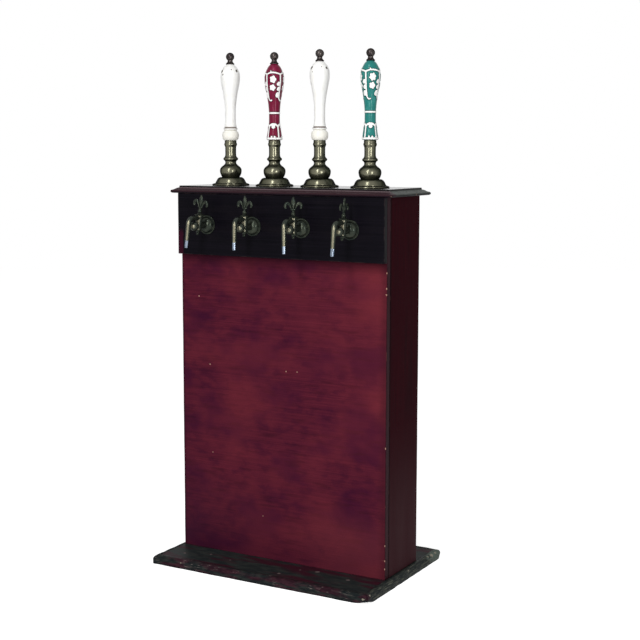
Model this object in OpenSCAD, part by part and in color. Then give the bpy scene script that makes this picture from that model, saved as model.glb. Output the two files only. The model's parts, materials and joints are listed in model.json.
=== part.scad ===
// Four-pull beer engine in a free-standing wooden case.
// X runs along the row of pulls, -Y is the front with the taps, Z is up.
// The origin is on the floor under the middle of the case.

/* [Case] */
// Width of the case
case_w = 640; // [600:1:720]
// Depth of the case
case_d = 190; // [180:1:220]
// Height of the case between plinth and top board
case_h = 1002; // [900:1:1100]
// Thickness of the case boards
board_t = 18; // [15:0.5:20]
// Gap round the edge of the back door
door_gap = 2; // [1.5:0.25:3]
// Thickness of the battens in the corners
batten = 20; // [14:1:26]

/* [Top board] */
// Thickness of the top board
top_t = 20; // [18:0.5:24]
// Overhang of the top board on every side
top_over = 22; // [20:0.5:28]
// Radius of the rounded nose at its edge
nose_r = 4.5; // [3.5:0.25:5]
// Height of the fillet at the top of its moulding
fillet_h = 5; // [3.5:0.25:6]

/* [Plinth] */
// Depth of the plinth
plinth_d = 450; // [440:1:500]
// Thickness of the plinth
plinth_t = 25; // [20:0.5:30]
// Width of the edging strips round the plinth
edging_w = 17; // [15:0.5:24]
// Radius of the hole for the beer lines
line_r = 32; // [25:1:40]

/* [Fascia] */
// Height of the fascia board
fascia_h = 168; // [150:1:190]
// Thickness of the fascia board
fascia_t = 17; // [14:0.5:20]

/* [Pulls] */
// Distance from one pull to the next
pull_pitch = 146.4; // [140:0.2:152]
// How far each pull was fitted out of its even place
pull_shift = [1.5, -1.5, -6, 0]; // [-8:0.5:8]
// Swing of a pull towards the front, in degrees
swing = 30; // [27:0.5:33]
// Radius of the bell at its foot
bell_r = 52; // [50:0.5:56]
// Thickness of the rim round the bell
rim_t = 4; // [3:0.25:4.5]
// Height of the bell
bell_h = 22.5; // [22:0.5:25]
// Radius of the ball
ball_r = 30.3; // [29.5:0.1:31]
// Height of the ball centre above the top board
ball_z = 41; // [40:0.5:42]
// Wall of the hollow ball
ball_wall = 6.5; // [5.5:0.25:7]
// Gap between the ball and its seat
seat_gap = 0.4; // [0.3:0.05:0.6]
// Radius of the column
column_r = 15.2; // [14:0.1:16]
// Height of the column above the top board
column_h = 124.5; // [120:0.5:140]
// Height of a coloured grip
grip_h = 205; // [190:1:220]
// Largest radius of a coloured grip
grip_r = 26; // [24:0.25:28]
// Height of a plain grip
plain_h = 208; // [190:1:220]
// Largest radius of a plain grip
plain_r = 26.8; // [24:0.2:28]
// Radius of the ball on a finial
finial_r = 11.5; // [10:0.25:13]
// Height of a finial
finial_h = 32.5; // [31:0.5:36]
// Radius of the stud that holds a grip
stud_r = 4; // [3:0.25:5]

/* [Levers] */
// Thickness of a lever
lever_t = 6; // [5:0.25:7]
// Half width of a lever
lever_w = 6.5; // [6:0.25:7]
// Radius of the pivot pins and crank pins
pin_r = 4; // [3.5:0.25:4.5]
// Thickness of the cheeks that hold a pivot pin
cheek_t = 4; // [3:0.25:4.5]
// Radial clearance of a pin or rod in its bore
fit = 0.05; // [0.03:0.01:0.08]

/* [Pumps] */
// Radius of a pump bore
bore_r = 28; // [25:0.5:29]
// Wall of a pump cylinder
cyl_wall = 3; // [2.5:0.25:4]
// Radius of the flanges on a cylinder
flange_r = 36; // [35:0.25:38]
// Thickness of the cylinder heads
head_t = 7; // [5:0.25:8]
// Thickness of a piston
piston_t = 10; // [8:0.5:12]
// Radius of a piston rod
rod_r = 5; // [4:0.25:6]
// Thickness of a crosshead leg
leg_t = 7; // [6:0.25:8]
// Outer radius of the tails for the beer lines
line_tail_r = 6.35; // [5:0.05:7]
// Length of the tails for the beer lines
tail_l = 40; // [30:1:50]

/* [Taps] */
// Distance from one tap to the next
tap_pitch = 150; // [140:0.5:160]
// Depth of the tap centres below the top of the fascia
tap_drop = 85; // [80:0.5:88]
// How far each tap was fitted out of its even place
tap_shift = [2.5, 0, 1.5, -3]; // [-4:0.5:4]
// Lean of each tap on its tail, in degrees
tap_lean = [7.5, 1.5, 0, 4]; // [0:0.5:8]
// Radius of a rosette
rosette_r = 26; // [24:0.5:30]
// Depth of a rosette
rosette_d = 16; // [12:0.5:20]
// Distance from the fascia to a plug axis
plug_out = 41; // [39:0.5:44]
// Radius of a plug
plug_r = 6.5; // [6:0.1:7]
// Wall of the barrel round a plug
barrel_wall = 3.2; // [2.5:0.1:4]
// Distance from the fascia to a spout axis
spout_out = 88; // [86:0.5:94]
// Height of the spout tube above the tail
spout_rise = 21; // [20:0.5:23]
// Radius of the bend in a spout
bend_r = 14; // [13:0.5:16]
// Outer radius of a spout at the bend
spout_r = 6.8; // [6.4:0.1:7.2]
// Outer radius of a spout at its end
spout_end_r = 5.6; // [5.2:0.1:6]
// Inner radius of a spout
spout_bore_r = 3.5; // [3:0.1:3.8]
// Depth of the end of each spout below its tail
spout_drop = [38, 38, 42, 42]; // [34:0.5:44]
// Length of a nozzle
nozzle_l = 20; // [16:0.5:24]
// Outer radius of a nozzle
nozzle_r = 5.5; // [5.2:0.1:6]
// Height of the fleur-de-lis on a key
fleur_h = 42; // [38:0.5:44]
// Thickness of the fleur-de-lis
fleur_t = 5; // [4:0.25:7]

/* [Hinges] */
// Height of a hinge
hinge_h = 64; // [50:1:80]
// Radius of a hinge knuckle
knuckle_r = 3.5; // [3:0.1:3.8]
// Thickness of a hinge leaf
leaf_t = 2; // [1.5:0.1:2.5]

/* [Hidden] */
$fn = 96;
PULLS = [1, 2, 3, 4];

maroon = [0.40, 0.13, 0.20];
dark_red = [0.25, 0.07, 0.09];
near_black = [0.11, 0.09, 0.10];
edge_green = [0.20, 0.21, 0.20];
bare_wood = [0.62, 0.46, 0.30];
old_brass = [0.52, 0.46, 0.30];
dark_brass = [0.33, 0.27, 0.16];
bright_steel = [0.70, 0.72, 0.75];
gunmetal = [0.63, 0.50, 0.30];
copper = [0.72, 0.42, 0.28];
silver = [0.82, 0.86, 0.90];
ivory = [0.96, 0.95, 0.90];
crimson = [0.55, 0.10, 0.24];
sea_green = [0.10, 0.50, 0.46];

// The plinth board is as wide as the case, and the strips stand out at each side of it
plinth_w = case_w + 2 * edging_w;

// Case heights and depths
case_z = plinth_t;
under_top = case_z + case_h;
top_z = under_top + top_t;
front_y = -case_d / 2;
inner_front = front_y + board_t;
inner_back = case_d / 2 - board_t;
inner_w = case_w - 2 * board_t;
fascia_y = front_y - fascia_t;
fascia_z = under_top - fascia_h;

// Lever and crank: the crank pin swings evenly to both sides of straight down,
// and the pump stroke fills the depth of the case
play = 0.5;
stop_gap = 0.5;
slot_gap = 2;
panel_gap = 2;
door_room = 3;
cap_t = 6;
gland_l = 3;
leg_gap = 1;
fixed_run = panel_gap + head_t + 2 * play + piston_t + cap_t + gland_l + leg_gap + leg_t + door_room;
stroke = (inner_back - inner_front - fixed_run) / 2;
crank_r = stroke / (2 * sin(swing / 2));
pivot_z = top_z + ball_z;
crank_y = -stroke / 2;
crank_z = pivot_z - crank_r * cos(swing / 2);
crank_low = pivot_z - crank_r;
side_gap = 0.7;

// Tap heights
tap_z = under_top - tap_drop;
shank_r = 8;
nut_flat_r = 13;
nut_t = 8;
shank_out = 17;
shank_end = inner_front + shank_out;
barrel_r = plug_r + fit + barrel_wall;
barrel_top = spout_rise + spout_r;
barrel_low = -11;

// Pump places
nut_room = 5;
cyl_z = tap_z - nut_flat_r - flange_r - nut_room;
cyl_front = inner_front + panel_gap;
chamber_y = cyl_front + head_t;
cap_y = chamber_y + play + piston_t + stroke + play;
leg_y = cap_y + cap_t + gland_l + leg_gap;
shelf_z = cyl_z - flange_r;
cyl_r = bore_r + cyl_wall;
outlet_y = cap_y - head_t;
pipe_r = 6;
pipe_bend = 11;
inlet_y = cyl_front + 2 * head_t;
inlet_r = 8;
inlet_bore_r = 3.5;
pipe_wall = 1.5;

// Hinge axis
hinge_x = -inner_w / 2 + door_gap / 2;
hinge_y = case_d / 2 + knuckle_r;
HINGES = [case_z + case_h * 0.15, case_z + case_h * 0.85];

function pull_x(k) = (k - 2.5) * pull_pitch + pull_shift[k - 1];
function tap_x(k) = (k - 2.5) * tap_pitch + tap_shift[k - 1];
// Turn of each key about its plug at rest: 0 lies across the flow, 90 in line with it
function key_turn(k) = [0, 0, 30, 90][k - 1];

// Points along an arc
function arc(c, r, a0, a1, n = 8) =
    [for (i = [0:n]) let (a = a0 + (a1 - a0) * i / n) c + r * [cos(a), sin(a)]];

// Points along a smooth curve that passes through each point of a list
function blend(p0, p1, p2, p3, t) =
    p1 + 0.5 * t * (p2 - p0 + t * (2 * p0 - 5 * p1 + 4 * p2 - p3 + t * (3 * (p1 - p2) + p3 - p0)));
function curve(p, n = 4) = let (last = len(p) - 1) concat(
    [for (i = [0:last - 1]) for (j = [0:n - 1])
        blend(p[max(i - 1, 0)], p[i], p[i + 1], p[min(i + 2, last)], j / n)],
    [p[last]]);

// An outline drawn for one radius and height, at another
function sized(p, r, h) = [for (q = p) [q[0] * r, q[1] * h]];

// A turned solid from its outline, given as radius and height from foot to top
module lathe(outline) rotate_extrude() polygon(concat([[0, outline[0][1]]], outline,
    [[0, outline[len(outline) - 1][1]]]));

// Lays the flat outline of depth and height in the YZ plane, as a plate across X
module plate(t) rotate([90, 0, 90]) translate([0, 0, -t / 2]) linear_extrude(t) children();

// A rod along Y, from y0 to y1
module rod_y(r, y0, y1) translate([0, y0, 0]) rotate([-90, 0, 0]) cylinder(r = r, h = y1 - y0);

// A rod along X, centred
module rod_x(r, l) rotate([0, 90, 0]) cylinder(r = r, h = l, center = true);

// A hexagon nut along Y with the given distance from axis to flat
module hex_y(flat_r, y0, y1) translate([0, y0, 0]) rotate([-90, 0, 0])
    cylinder(r = flat_r / cos(30), h = y1 - y0, $fn = 6);

// Plinth: a board with four mitred bullnose strips round it
module plinth_board() color(maroon) difference() {
    translate([-plinth_w / 2 + edging_w, -plinth_d / 2 + edging_w, 0])
        cube([plinth_w - 2 * edging_w, plinth_d - 2 * edging_w, plinth_t]);
    translate([0, 0, -1]) cylinder(r = line_r, h = plinth_t + 2);
}

module bullnose(width) union() {
    square([width - plinth_t, plinth_t], center = true);
    for (s = [-1, 1]) translate([s * (width - plinth_t) / 2, 0]) circle(d = plinth_t);
}

// The strips at two opposite edges of the plinth, which lie that far apart
module edging_profile(width) difference() {
    bullnose(width);
    square([width - 2 * edging_w, plinth_t + 2], center = true);
}

module plinth_edging() color(edge_green)
    for (turn = [0:3]) intersection() {
        along_x = turn % 2 == 0;
        translate([0, 0, plinth_t / 2]) rotate([90, 0, along_x ? 90 : 0])
            linear_extrude((along_x ? plinth_w : plinth_d) + 2, center = true)
                edging_profile(along_x ? plinth_d : plinth_w);
        translate([0, 0, -1]) linear_extrude(plinth_t + 2) mitre(turn);
    }

// The part of the plan that belongs to one strip, cut at 45 degrees at the corners
module mitre(turn) {
    x = plinth_w / 2;
    y = plinth_d / 2;
    reach = 40;
    ends = [[[x, y], [-x, y]], [[-x, y], [-x, -y]], [[-x, -y], [x, -y]], [[x, -y], [x, y]]][turn];
    a = ends[0];
    b = ends[1];
    function corner(p, s) = [p[0] + s * sign(p[0]), p[1] + s * sign(p[1])];
    polygon([corner(a, reach), corner(b, reach), corner(b, -reach), corner(a, -reach)]);
}

// Case boards
module front_panel() color(maroon) difference() {
    translate([-case_w / 2, front_y, case_z]) cube([case_w, board_t, case_h]);
    tail_holes();
}

module tail_holes() for (k = PULLS) translate([tap_x(k), 0, tap_z])
    rod_y(shank_r + 0.3, fascia_y - 1, inner_front + 1);

module side_board(s) translate([s * (case_w - board_t) / 2, inner_front + (case_d - board_t) / 2,
    case_z + case_h / 2]) cube([board_t, case_d - board_t, case_h], center = true);
module left_side() color(dark_red) side_board(-1);
module right_side() color(dark_red) side_board(1);

// Top board with a moulded edge: a thick nose, a long wavy slope, and an upright fillet on top
fillet_in = 18;
fillet_round = 1.2;
ledge = 0.6;

module top_profile(width) {
    nose = arc([-nose_r, nose_r], nose_r, -90, 60, 10);
    nose_end = nose[10];
    run = -fillet_in - nose_end[0];
    rise = top_t - fillet_h - nose_end[1];
    edge = concat(
        nose,
        [for (i = [1:8]) let (t = i / 8) nose_end + [run * t, rise * (t - 0.08 * sin(360 * t))]],
        arc([-fillet_in - ledge - fillet_round, top_t - fillet_round], fillet_round, 0, 90, 4));
    right = [for (p = edge) [width / 2 + p[0], p[1]]];
    left = [for (i = [len(right) - 1:-1:0]) [-right[i][0], right[i][1]]];
    polygon(concat(right, left));
}

module top_board() color(near_black) difference() {
    translate([0, 0, under_top]) intersection() {
        w = case_w + 2 * top_over;
        d = case_d + 2 * top_over;
        rotate([90, 0, 0]) linear_extrude(d + 2, center = true) top_profile(w);
        rotate([90, 0, 90]) linear_extrude(w + 2, center = true) top_profile(d);
    }
    for (k = PULLS) translate([pull_x(k), 0, under_top + top_t / 2])
        cube([lever_t + 2 * slot_gap, 2 * slot_reach(), top_t + 2], center = true);
}

// How far a lever reaches fore and aft where it passes the underside of the top board
function slot_reach() = (ball_z + top_t) * tan(swing / 2) + lever_w / cos(swing / 2) + slot_gap;

module fascia_board() color(near_black) difference() {
    translate([-case_w / 2, fascia_y, fascia_z]) cube([case_w, fascia_t, fascia_h]);
    tail_holes();
}

// The shelf carries the four pumps, and stops the inside of the door
module pump_shelf() color(bare_wood) difference() {
    translate([-inner_w / 2, inner_front, shelf_z - board_t])
        cube([inner_w, inner_back - inner_front - stop_gap, board_t]);
    for (k = PULLS) translate([pull_x(k), inlet_y, shelf_z - board_t - 1])
        cylinder(r = inlet_r + 0.3, h = board_t + 2);
}

module case_battens() color(bare_wood)
    for (s = [-1, 1]) for (y = [inner_front, inner_back - stop_gap - batten])
        translate([s * (inner_w - batten) / 2 - batten / 2, y, case_z])
            cube([batten, batten, shelf_z - board_t - case_z]);

// Back door with its hinges and knob
module back_door() color(dark_red) difference() {
    translate([-inner_w / 2 + door_gap, inner_back, case_z + door_gap])
        cube([inner_w - 2 * door_gap, board_t, case_h - 2 * door_gap]);
    knob_place() rod_y(knob_r * 0.29, -board_t - 1, 1);
}

knob_r = 14;
knob_in = 45;
// The knob's foot and neck, as shares of its radius
knob_foot = [[1.07, 0], [1.07, 0.14], [0.86, 0.25]];
knob_neck = [[0.57, 0.36], [0.46, 0.64], [0.57, 0.93]];

module knob_place() translate([inner_w / 2 - knob_in, case_d / 2, case_z + case_h * 0.55]) children();

module door_knob() color(old_brass) knob_place() rotate([-90, 0, 0]) {
    lathe(concat(sized(knob_foot, knob_r, knob_r), curve(sized(knob_neck, knob_r, knob_r)),
        arc([0, knob_r * 1.5], knob_r, -40, 88, 14)));
    translate([0, 0, -board_t]) cylinder(r = knob_r * 0.285, h = board_t);
    translate([0, 0, -board_t - rim_t / 2]) cylinder(r = knob_r / 2, h = rim_t / 2);
}

// One leaf reaches outwards from the pin on the side s
leaf_w = 26;
leaf_gap = 0.7;
hinge_pin_r = 1.8;
module leaf(s, width)
    translate([s > 0 ? knuckle_r + leaf_gap : -knuckle_r - leaf_gap - width, -knuckle_r, -hinge_h / 2])
        cube([width, leaf_t, hinge_h]);

// A knuckle with the tongue that joins it to its leaf
module knuckle(s, z0, z1) translate([0, 0, z0]) {
    cylinder(r = knuckle_r, h = z1 - z0);
    translate([s > 0 ? 0 : -knuckle_r - 1, -knuckle_r, 0]) cube([knuckle_r + 1, leaf_t, z1 - z0]);
}

module case_hinge_leaves() color(old_brass) for (z = HINGES) translate([hinge_x, hinge_y, z]) {
    leaf(-1, board_t * 2 / 3);
    knuckle(-1, -hinge_h / 2, -hinge_h / 6 - 0.3);
    knuckle(-1, hinge_h / 6 + 0.3, hinge_h / 2);
    cylinder(r = hinge_pin_r, h = hinge_h, center = true);
}

module door_hinge_leaves() color(old_brass) for (z = HINGES) translate([hinge_x, hinge_y, z])
    difference() {
        union() {
            leaf(1, leaf_w);
            knuckle(1, -hinge_h / 6, hinge_h / 6);
        }
        cylinder(r = hinge_pin_r + fit, h = hinge_h, center = true);
    }

// Bell: a flared foot with a round seat for the ball, and two cheeks for the pivot pin
seat_r = ball_r + seat_gap;
seat_low = bell_h * 0.73;
cheek_in = lever_t / 2 + side_gap;
cheek_out = cheek_in + cheek_t;
eye_r = 2 * pin_r;
cavity_r = bell_r * 0.65;
// The flare above the rim, and the dome above that, as shares of the bell's radius and height
bell_flare = [[0.93, 0.215], [0.875, 0.25], [0.845, 0.275], [0.832, 0.268]];
bell_dome = [[0.83, 0.31], [0.8, 0.42], [0.77, 0.56], [0.735, 0.71], [0.69, 0.85], [0.625, 0.955]];

module bell_shape() rotate_extrude() difference() {
    polygon(concat([[0, 0], [bell_r - rim_t / 4, 0]],
        arc([bell_r - rim_t / 2, rim_t / 2], rim_t / 2, -50, 80, 8),
        sized(bell_flare, bell_r, bell_h),
        curve(sized(bell_dome, bell_r, bell_h)),
        [[bell_r * 0.57, bell_h], [0, bell_h]]));
    translate([0, ball_z]) circle(r = seat_r);
    polygon([[-1, -1], [cavity_r, -1], [cavity_r, seat_low / 2],
        [sqrt(pow(seat_r, 2) - pow(ball_z - seat_low, 2)), seat_low + 0.01], [-1, seat_low + 0.01]]);
}

module cheek_outline() union() {
    translate([0, ball_z]) circle(r = eye_r);
    translate([-eye_r, 0]) square([2 * eye_r, ball_z]);
    polygon([[-cavity_r - 1, 0], [cavity_r + 1, 0], [cavity_r + 1, rim_t], [eye_r, ball_z - ball_r - 1],
        [-eye_r, ball_z - ball_r - 1], [-cavity_r - 1, rim_t]]);
}

module bell() color(old_brass) difference() {
    union() {
        bell_shape();
        for (s = [-1, 1]) translate([s * (cheek_in + cheek_t / 2), 0, 0]) plate(cheek_t) cheek_outline();
    }
    translate([0, 0, ball_z]) rod_x(pin_r + 0.02, 2 * cheek_out + 2);
}

// Pins through the cheeks of all four bells
module pivot_pins() color(bright_steel) for (k = PULLS) translate([pull_x(k), 0, pivot_z])
    rod_x(pin_r, 2 * cheek_out + 1);

// Column: the hollow ball and the turned stem above it, open below for the cheeks
tang_z = ball_z + 33;
hollow_r = ball_r - ball_wall;
bead_z = ball_z + column_r * 2.12;
bead_r = column_r * 0.28;

// Above its middle the ball is drawn in to the neck. These are shares of the ball's radius
ball_crown = [[1, 0], [0.975, 0.14], [0.9, 0.27], [0.785, 0.385], [0.65, 0.49], [0.545, 0.6],
    [0.5, 0.72], [0.53, 0.86]];
// The stem above the bead and its collar, as shares of the column's radius
stem_foot = [[1.08, 0.42], [1, 0.75]];
collar = [[1, -1.38], [1.04, -1.12], [1.17, -0.79], [1.13, -0.53], [1.065, -0.36], [1.09, -0.2]];

function stem_outline() = concat(
    arc([0, ball_z], ball_r, -90, -4, 24),
    [for (p = curve(sized(ball_crown, ball_r, ball_r))) p + [0, ball_z]],
    arc([column_r * 1.08, bead_z], bead_r, -70, 70, 8),
    curve(concat([for (p = sized(stem_foot, column_r, column_r)) p + [0, bead_z]],
        [for (p = sized(collar, column_r, column_r)) p + [0, column_h]])),
    [[column_r * 1.04, column_h]]);

// Sector of a circle in the YZ plane, with angles counted from straight down towards the back
module sector(r, a0, a1) polygon(concat([[0, 0]], arc([0, 0], r, a0 - 90, a1 - 90, 16)));

module column() color(old_brass) difference() {
    lathe(stem_outline());
    translate([0, 0, ball_z]) {
        lathe(arc([0, 0], hollow_r, -90, asin((eye_r + 2) / hollow_r), 24));
        plate(2 * (cheek_out + side_gap)) sector(ball_r + 2, -swing - 23, 23);
    }
    translate([-lever_t / 2, -lever_w, ball_z]) cube([lever_t, 2 * lever_w, tang_z - ball_z]);
    translate([0, 0, column_h - stud_in - 1]) cylinder(r = stud_r + 0.02, h = stud_in + 2);
}

// Lever: a flat bar from its tang in the column down to the crank pin
module lever_outline() union() {
    translate([-lever_w, 0]) square([2 * lever_w, tang_z - ball_z]);
    circle(r = eye_r + 1);
    rotate(-swing / 2) {
        translate([-lever_w, -crank_r]) square([2 * lever_w, crank_r]);
        translate([0, -crank_r]) circle(r = eye_r + 0.5);
    }
}

module lever() color(bright_steel) translate([0, 0, ball_z]) {
    difference() {
        plate(lever_t) lever_outline();
        rod_x(pin_r + fit, lever_t + 2);
    }
    translate([0, crank_y, crank_z - pivot_z]) rod_x(pin_r, 2 * cheek_out + 1);
}

// Grips: two plain white ones, and two coloured ones with a flared skirt. Their outlines are
// shares of the largest radius and of the height, counted down from the top
plain_side = [[0.38, 0], [0.62, 0.029], [0.81, 0.062], [0.94, 0.101], [1, 0.15], [0.99, 0.2],
    [0.935, 0.26], [0.83, 0.325], [0.73, 0.392], [0.655, 0.455], [0.59, 0.52], [0.555, 0.588],
    [0.545, 0.66], [0.55, 0.735], [0.57, 0.78], [0.63, 0.82]];
plain_foot = [[0.62, 0.832], [0.7, 0.838], [0.73, 0.848], [0.7, 0.858], [0.63, 0.866], [0.66, 0.874],
    [0.775, 0.888], [0.845, 0.91], [0.865, 0.937], [0.84, 0.965], [0.77, 0.987], [0.68, 0.999]];
skirt_side = [[0.38, 0], [0.615, 0.032], [0.77, 0.067], [0.95, 0.12], [1, 0.185], [0.973, 0.254],
    [0.896, 0.327], [0.796, 0.395], [0.72, 0.457], [0.645, 0.522], [0.6, 0.585], [0.572, 0.639],
    [0.57, 0.707], [0.58, 0.78], [0.67, 0.844], [0.75, 0.912], [0.806, 0.973]];

// The outline from foot to top, with its height counted from the top of the grip
function turned(p, r, h) = [for (i = [len(p) - 1:-1:0]) [p[i][0] * r, -p[i][1] * h]];

function plain_outline() = concat([[plain_r * 0.63, -plain_h]],
    turned(curve(plain_foot), plain_r, plain_h), turned(curve(plain_side), plain_r, plain_h));

function skirt_outline() = concat([[grip_r * 0.65, -grip_h]],
    arc([grip_r * 0.7, -grip_h * 0.983], grip_r * 0.123, -85, 60, 8),
    turned(curve(skirt_side), grip_r, grip_h));

GRIP_COLOURS = [ivory, crimson, ivory, sea_green];

function grip_top(k) = column_h + (k % 2 == 1 ? plain_h : grip_h);

module grip(k) translate([0, 0, grip_top(k)]) difference() {
    lathe(k % 2 == 1 ? plain_outline() : skirt_outline());
    translate([0, 0, -grip_top(k)]) cylinder(r = stud_r + 0.3, h = grip_top(k) + 1);
}

// Finial: a small turned ball whose stud runs down through the grip into the column
finial_foot = [[0.92, 0], [1.026, 0.087], [1.01, 0.21], [0.75, 0.47], [0.61, 0.75]];
stud_in = 11;

module finial(k) color(dark_brass) translate([0, 0, grip_top(k)]) {
    lathe(concat(curve(sized(finial_foot, finial_r, finial_r)),
        arc([0, finial_h - finial_r], finial_r, -52, 90, 18)));
    stud_l = grip_top(k) - column_h + stud_in;
    translate([0, 0, -stud_l]) cylinder(r = stud_r, h = stud_l);
}

// Pump cylinder: a barrel between two flanges, closed at the front, on two feet
riser_z = tap_z - pipe_bend;

module flange(y0, t) {
    rod_y(flange_r, y0, y0 + t);
    translate([-cyl_r, y0, -flange_r]) cube([2 * cyl_r, t, flange_r / 4]);
}

module cylinder_shape(k) color(gunmetal) difference() {
    union() {
        rod_y(cyl_r, cyl_front, cap_y);
        flange(cyl_front, head_t);
        flange(cap_y - head_t, head_t);
        translate([0, inlet_y, -flange_r]) cylinder(r = inlet_r * 1.25, h = flange_r);
        translate([tap_x(k) - pull_x(k), outlet_y, 0]) cylinder(r = pipe_r * 1.13, h = riser_z - cyl_z);
    }
    rod_y(bore_r, chamber_y, cap_y + 1);
    translate([0, inlet_y - inlet_r * 0.6, -flange_r - 1]) cylinder(r = inlet_bore_r, h = flange_r);
    translate([tap_x(k) - pull_x(k), outlet_y + 1, 0])
        cylinder(r = pipe_r - pipe_wall, h = riser_z - cyl_z + 1);
}

bolt_r = 2.6;

// Caps that close the cylinders at the back, with the gland for the rod and six bolt heads
module cylinder_caps() color(gunmetal) for (k = PULLS) translate([pull_x(k), 0, cyl_z])
    difference() {
        union() {
            flange(cap_y, cap_t);
            rod_y(2 * rod_r, cap_y, cap_y + cap_t + gland_l);
            for (i = [0:5]) rotate([0, 60 * i + 30, 0]) translate([cyl_r + 1, 0, 0])
                hex_y(bolt_r, cap_y + cap_t, cap_y + cap_t + gland_l);
        }
        rod_y(rod_r + fit, cap_y - 1, cap_y + cap_t + gland_l + 1);
    }

// Piston with its cup groove, and the rod that carries the crosshead
module piston() color(gunmetal) translate([0, 0, cyl_z]) {
    y0 = chamber_y + play;
    rod_y(bore_r - fit, y0, y0 + piston_t * 0.3);
    rod_y(bore_r * 0.95, y0 + piston_t * 0.3, y0 + piston_t / 2);
    rod_y(bore_r - fit, y0 + piston_t / 2, y0 + piston_t);
    rod_y(rod_r, y0 + piston_t, leg_y + leg_t);
}

// Crosshead: a bar with a slotted fork round the crank pin, and a leg down to the rod
fork_wall = 2 * pin_r;
brace_r = 3 * pin_r;
bar_top = crank_z + pin_r + fork_wall;
bar_low = crank_low - pin_r - fork_wall;
slot_half = pin_r * 1.1;
leg_back = leg_y + leg_t;

module crosshead_outline() difference() {
    union() {
        translate([crank_y, crank_low]) circle(r = pin_r + fork_wall);
        translate([crank_y, crank_z]) circle(r = pin_r + fork_wall);
        translate([crank_y - pin_r - fork_wall, crank_low])
            square([2 * (pin_r + fork_wall), crank_z - crank_low]);
        translate([crank_y, bar_low]) square([leg_back - crank_y - fork_wall, bar_top - bar_low]);
        translate([crank_y, bar_low]) square([leg_back - crank_y, bar_top - bar_low - fork_wall]);
        translate([leg_y, cyl_z]) square([leg_t, bar_top - fork_wall - cyl_z]);
        translate([leg_back - fork_wall, bar_top - fork_wall]) circle(r = fork_wall);
        translate([leg_y - brace_r, bar_low - brace_r]) square([brace_r, brace_r]);
    }
    translate([leg_y - brace_r, bar_low - brace_r]) circle(r = brace_r);
    translate([crank_y - slot_half, crank_low - slot_half])
        square([2 * slot_half, crank_z - crank_low + 2 * slot_half]);
}

module crosshead() color(gunmetal) difference() {
    union() {
        plate(2 * cheek_out) crosshead_outline();
        translate([0, 0, cyl_z]) rod_y(rod_r * 2.2, leg_y, leg_back);
    }
    translate([-cheek_in, crank_y - brace_r - fork_wall, bar_low - brace_r])
        cube([2 * cheek_in, brace_r + fork_wall + eye_r + pin_r, bar_top - bar_low + 2 * brace_r]);
    translate([0, 0, cyl_z]) rod_y(rod_r + 0.02, leg_y - 1, leg_back + 1);
}

// Pipes from the backs of the cylinders up and forward to the tails of the taps
module outlet_pipes() color(copper) for (k = PULLS) translate([tap_x(k), 0, tap_z])
    difference() {
        union() {
            pipe_run(pipe_r);
            rod_y(pipe_r * 1.83, shank_end, shank_end + pipe_bend);
        }
        pipe_run(pipe_r - pipe_wall);
        rod_y(pipe_r - pipe_wall, shank_end - 1, shank_end + 2);
    }

module pipe_run(r) {
    rod_y(r, shank_end, outlet_y - pipe_bend);
    translate([0, outlet_y - pipe_bend, -pipe_bend]) rotate([90, 0, 90])
        rotate_extrude(angle = 90) translate([pipe_bend, 0]) circle(r = r);
}

// Plain tails for the beer lines, each held under the shelf by its nut
module inlet_tails() color(old_brass) for (k = PULLS) translate([pull_x(k), inlet_y, shelf_z])
    difference() {
        union() {
            translate([0, 0, -board_t]) cylinder(r = inlet_r, h = board_t);
            translate([0, 0, -board_t - nut_t]) cylinder(r = inlet_r * 1.75, h = nut_t, $fn = 6);
            translate([0, 0, -board_t - nut_t - tail_l]) cylinder(r = line_tail_r, h = tail_l);
        }
        translate([0, 0, -board_t - nut_t - tail_l - 1])
            cylinder(r = inlet_bore_r, h = tail_l + nut_t + board_t + 2);
    }

// Taps: each is drawn with its tail along Y at the origin and its plug along Z
module tap_place(k) translate([tap_x(k), fascia_y, tap_z]) rotate([0, tap_lean[k - 1], 0]) children();

tail_r = 9;
// The dome of a rosette above its rim, as shares of its radius and depth
rosette_dome = [[0.87, 0.19], [0.83, 0.3], [0.79, 0.47], [0.72, 0.64], [0.62, 0.79], [0.5, 0.91],
    [0.42, 0.97]];

module rosettes() color(old_brass) for (k = PULLS) tap_place(k) rotate([90, 0, 0]) difference() {
    lathe(concat([[rosette_r, 0]],
        arc([rosette_r * 0.945, rosette_d * 0.11], rosette_r * 0.055, 0, 90, 4),
        curve(sized(rosette_dome, rosette_r, rosette_d)), [[tail_r + 0.5, rosette_d]]));
    translate([0, 0, -1]) cylinder(r = tail_r + 0.02, h = rosette_d + 2);
}

lobe_r = 2 * plug_r;
lobe_out = plug_out + 1.55 * lobe_r;
barrel_foot = 10;
barrel_lip = 3;

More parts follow.
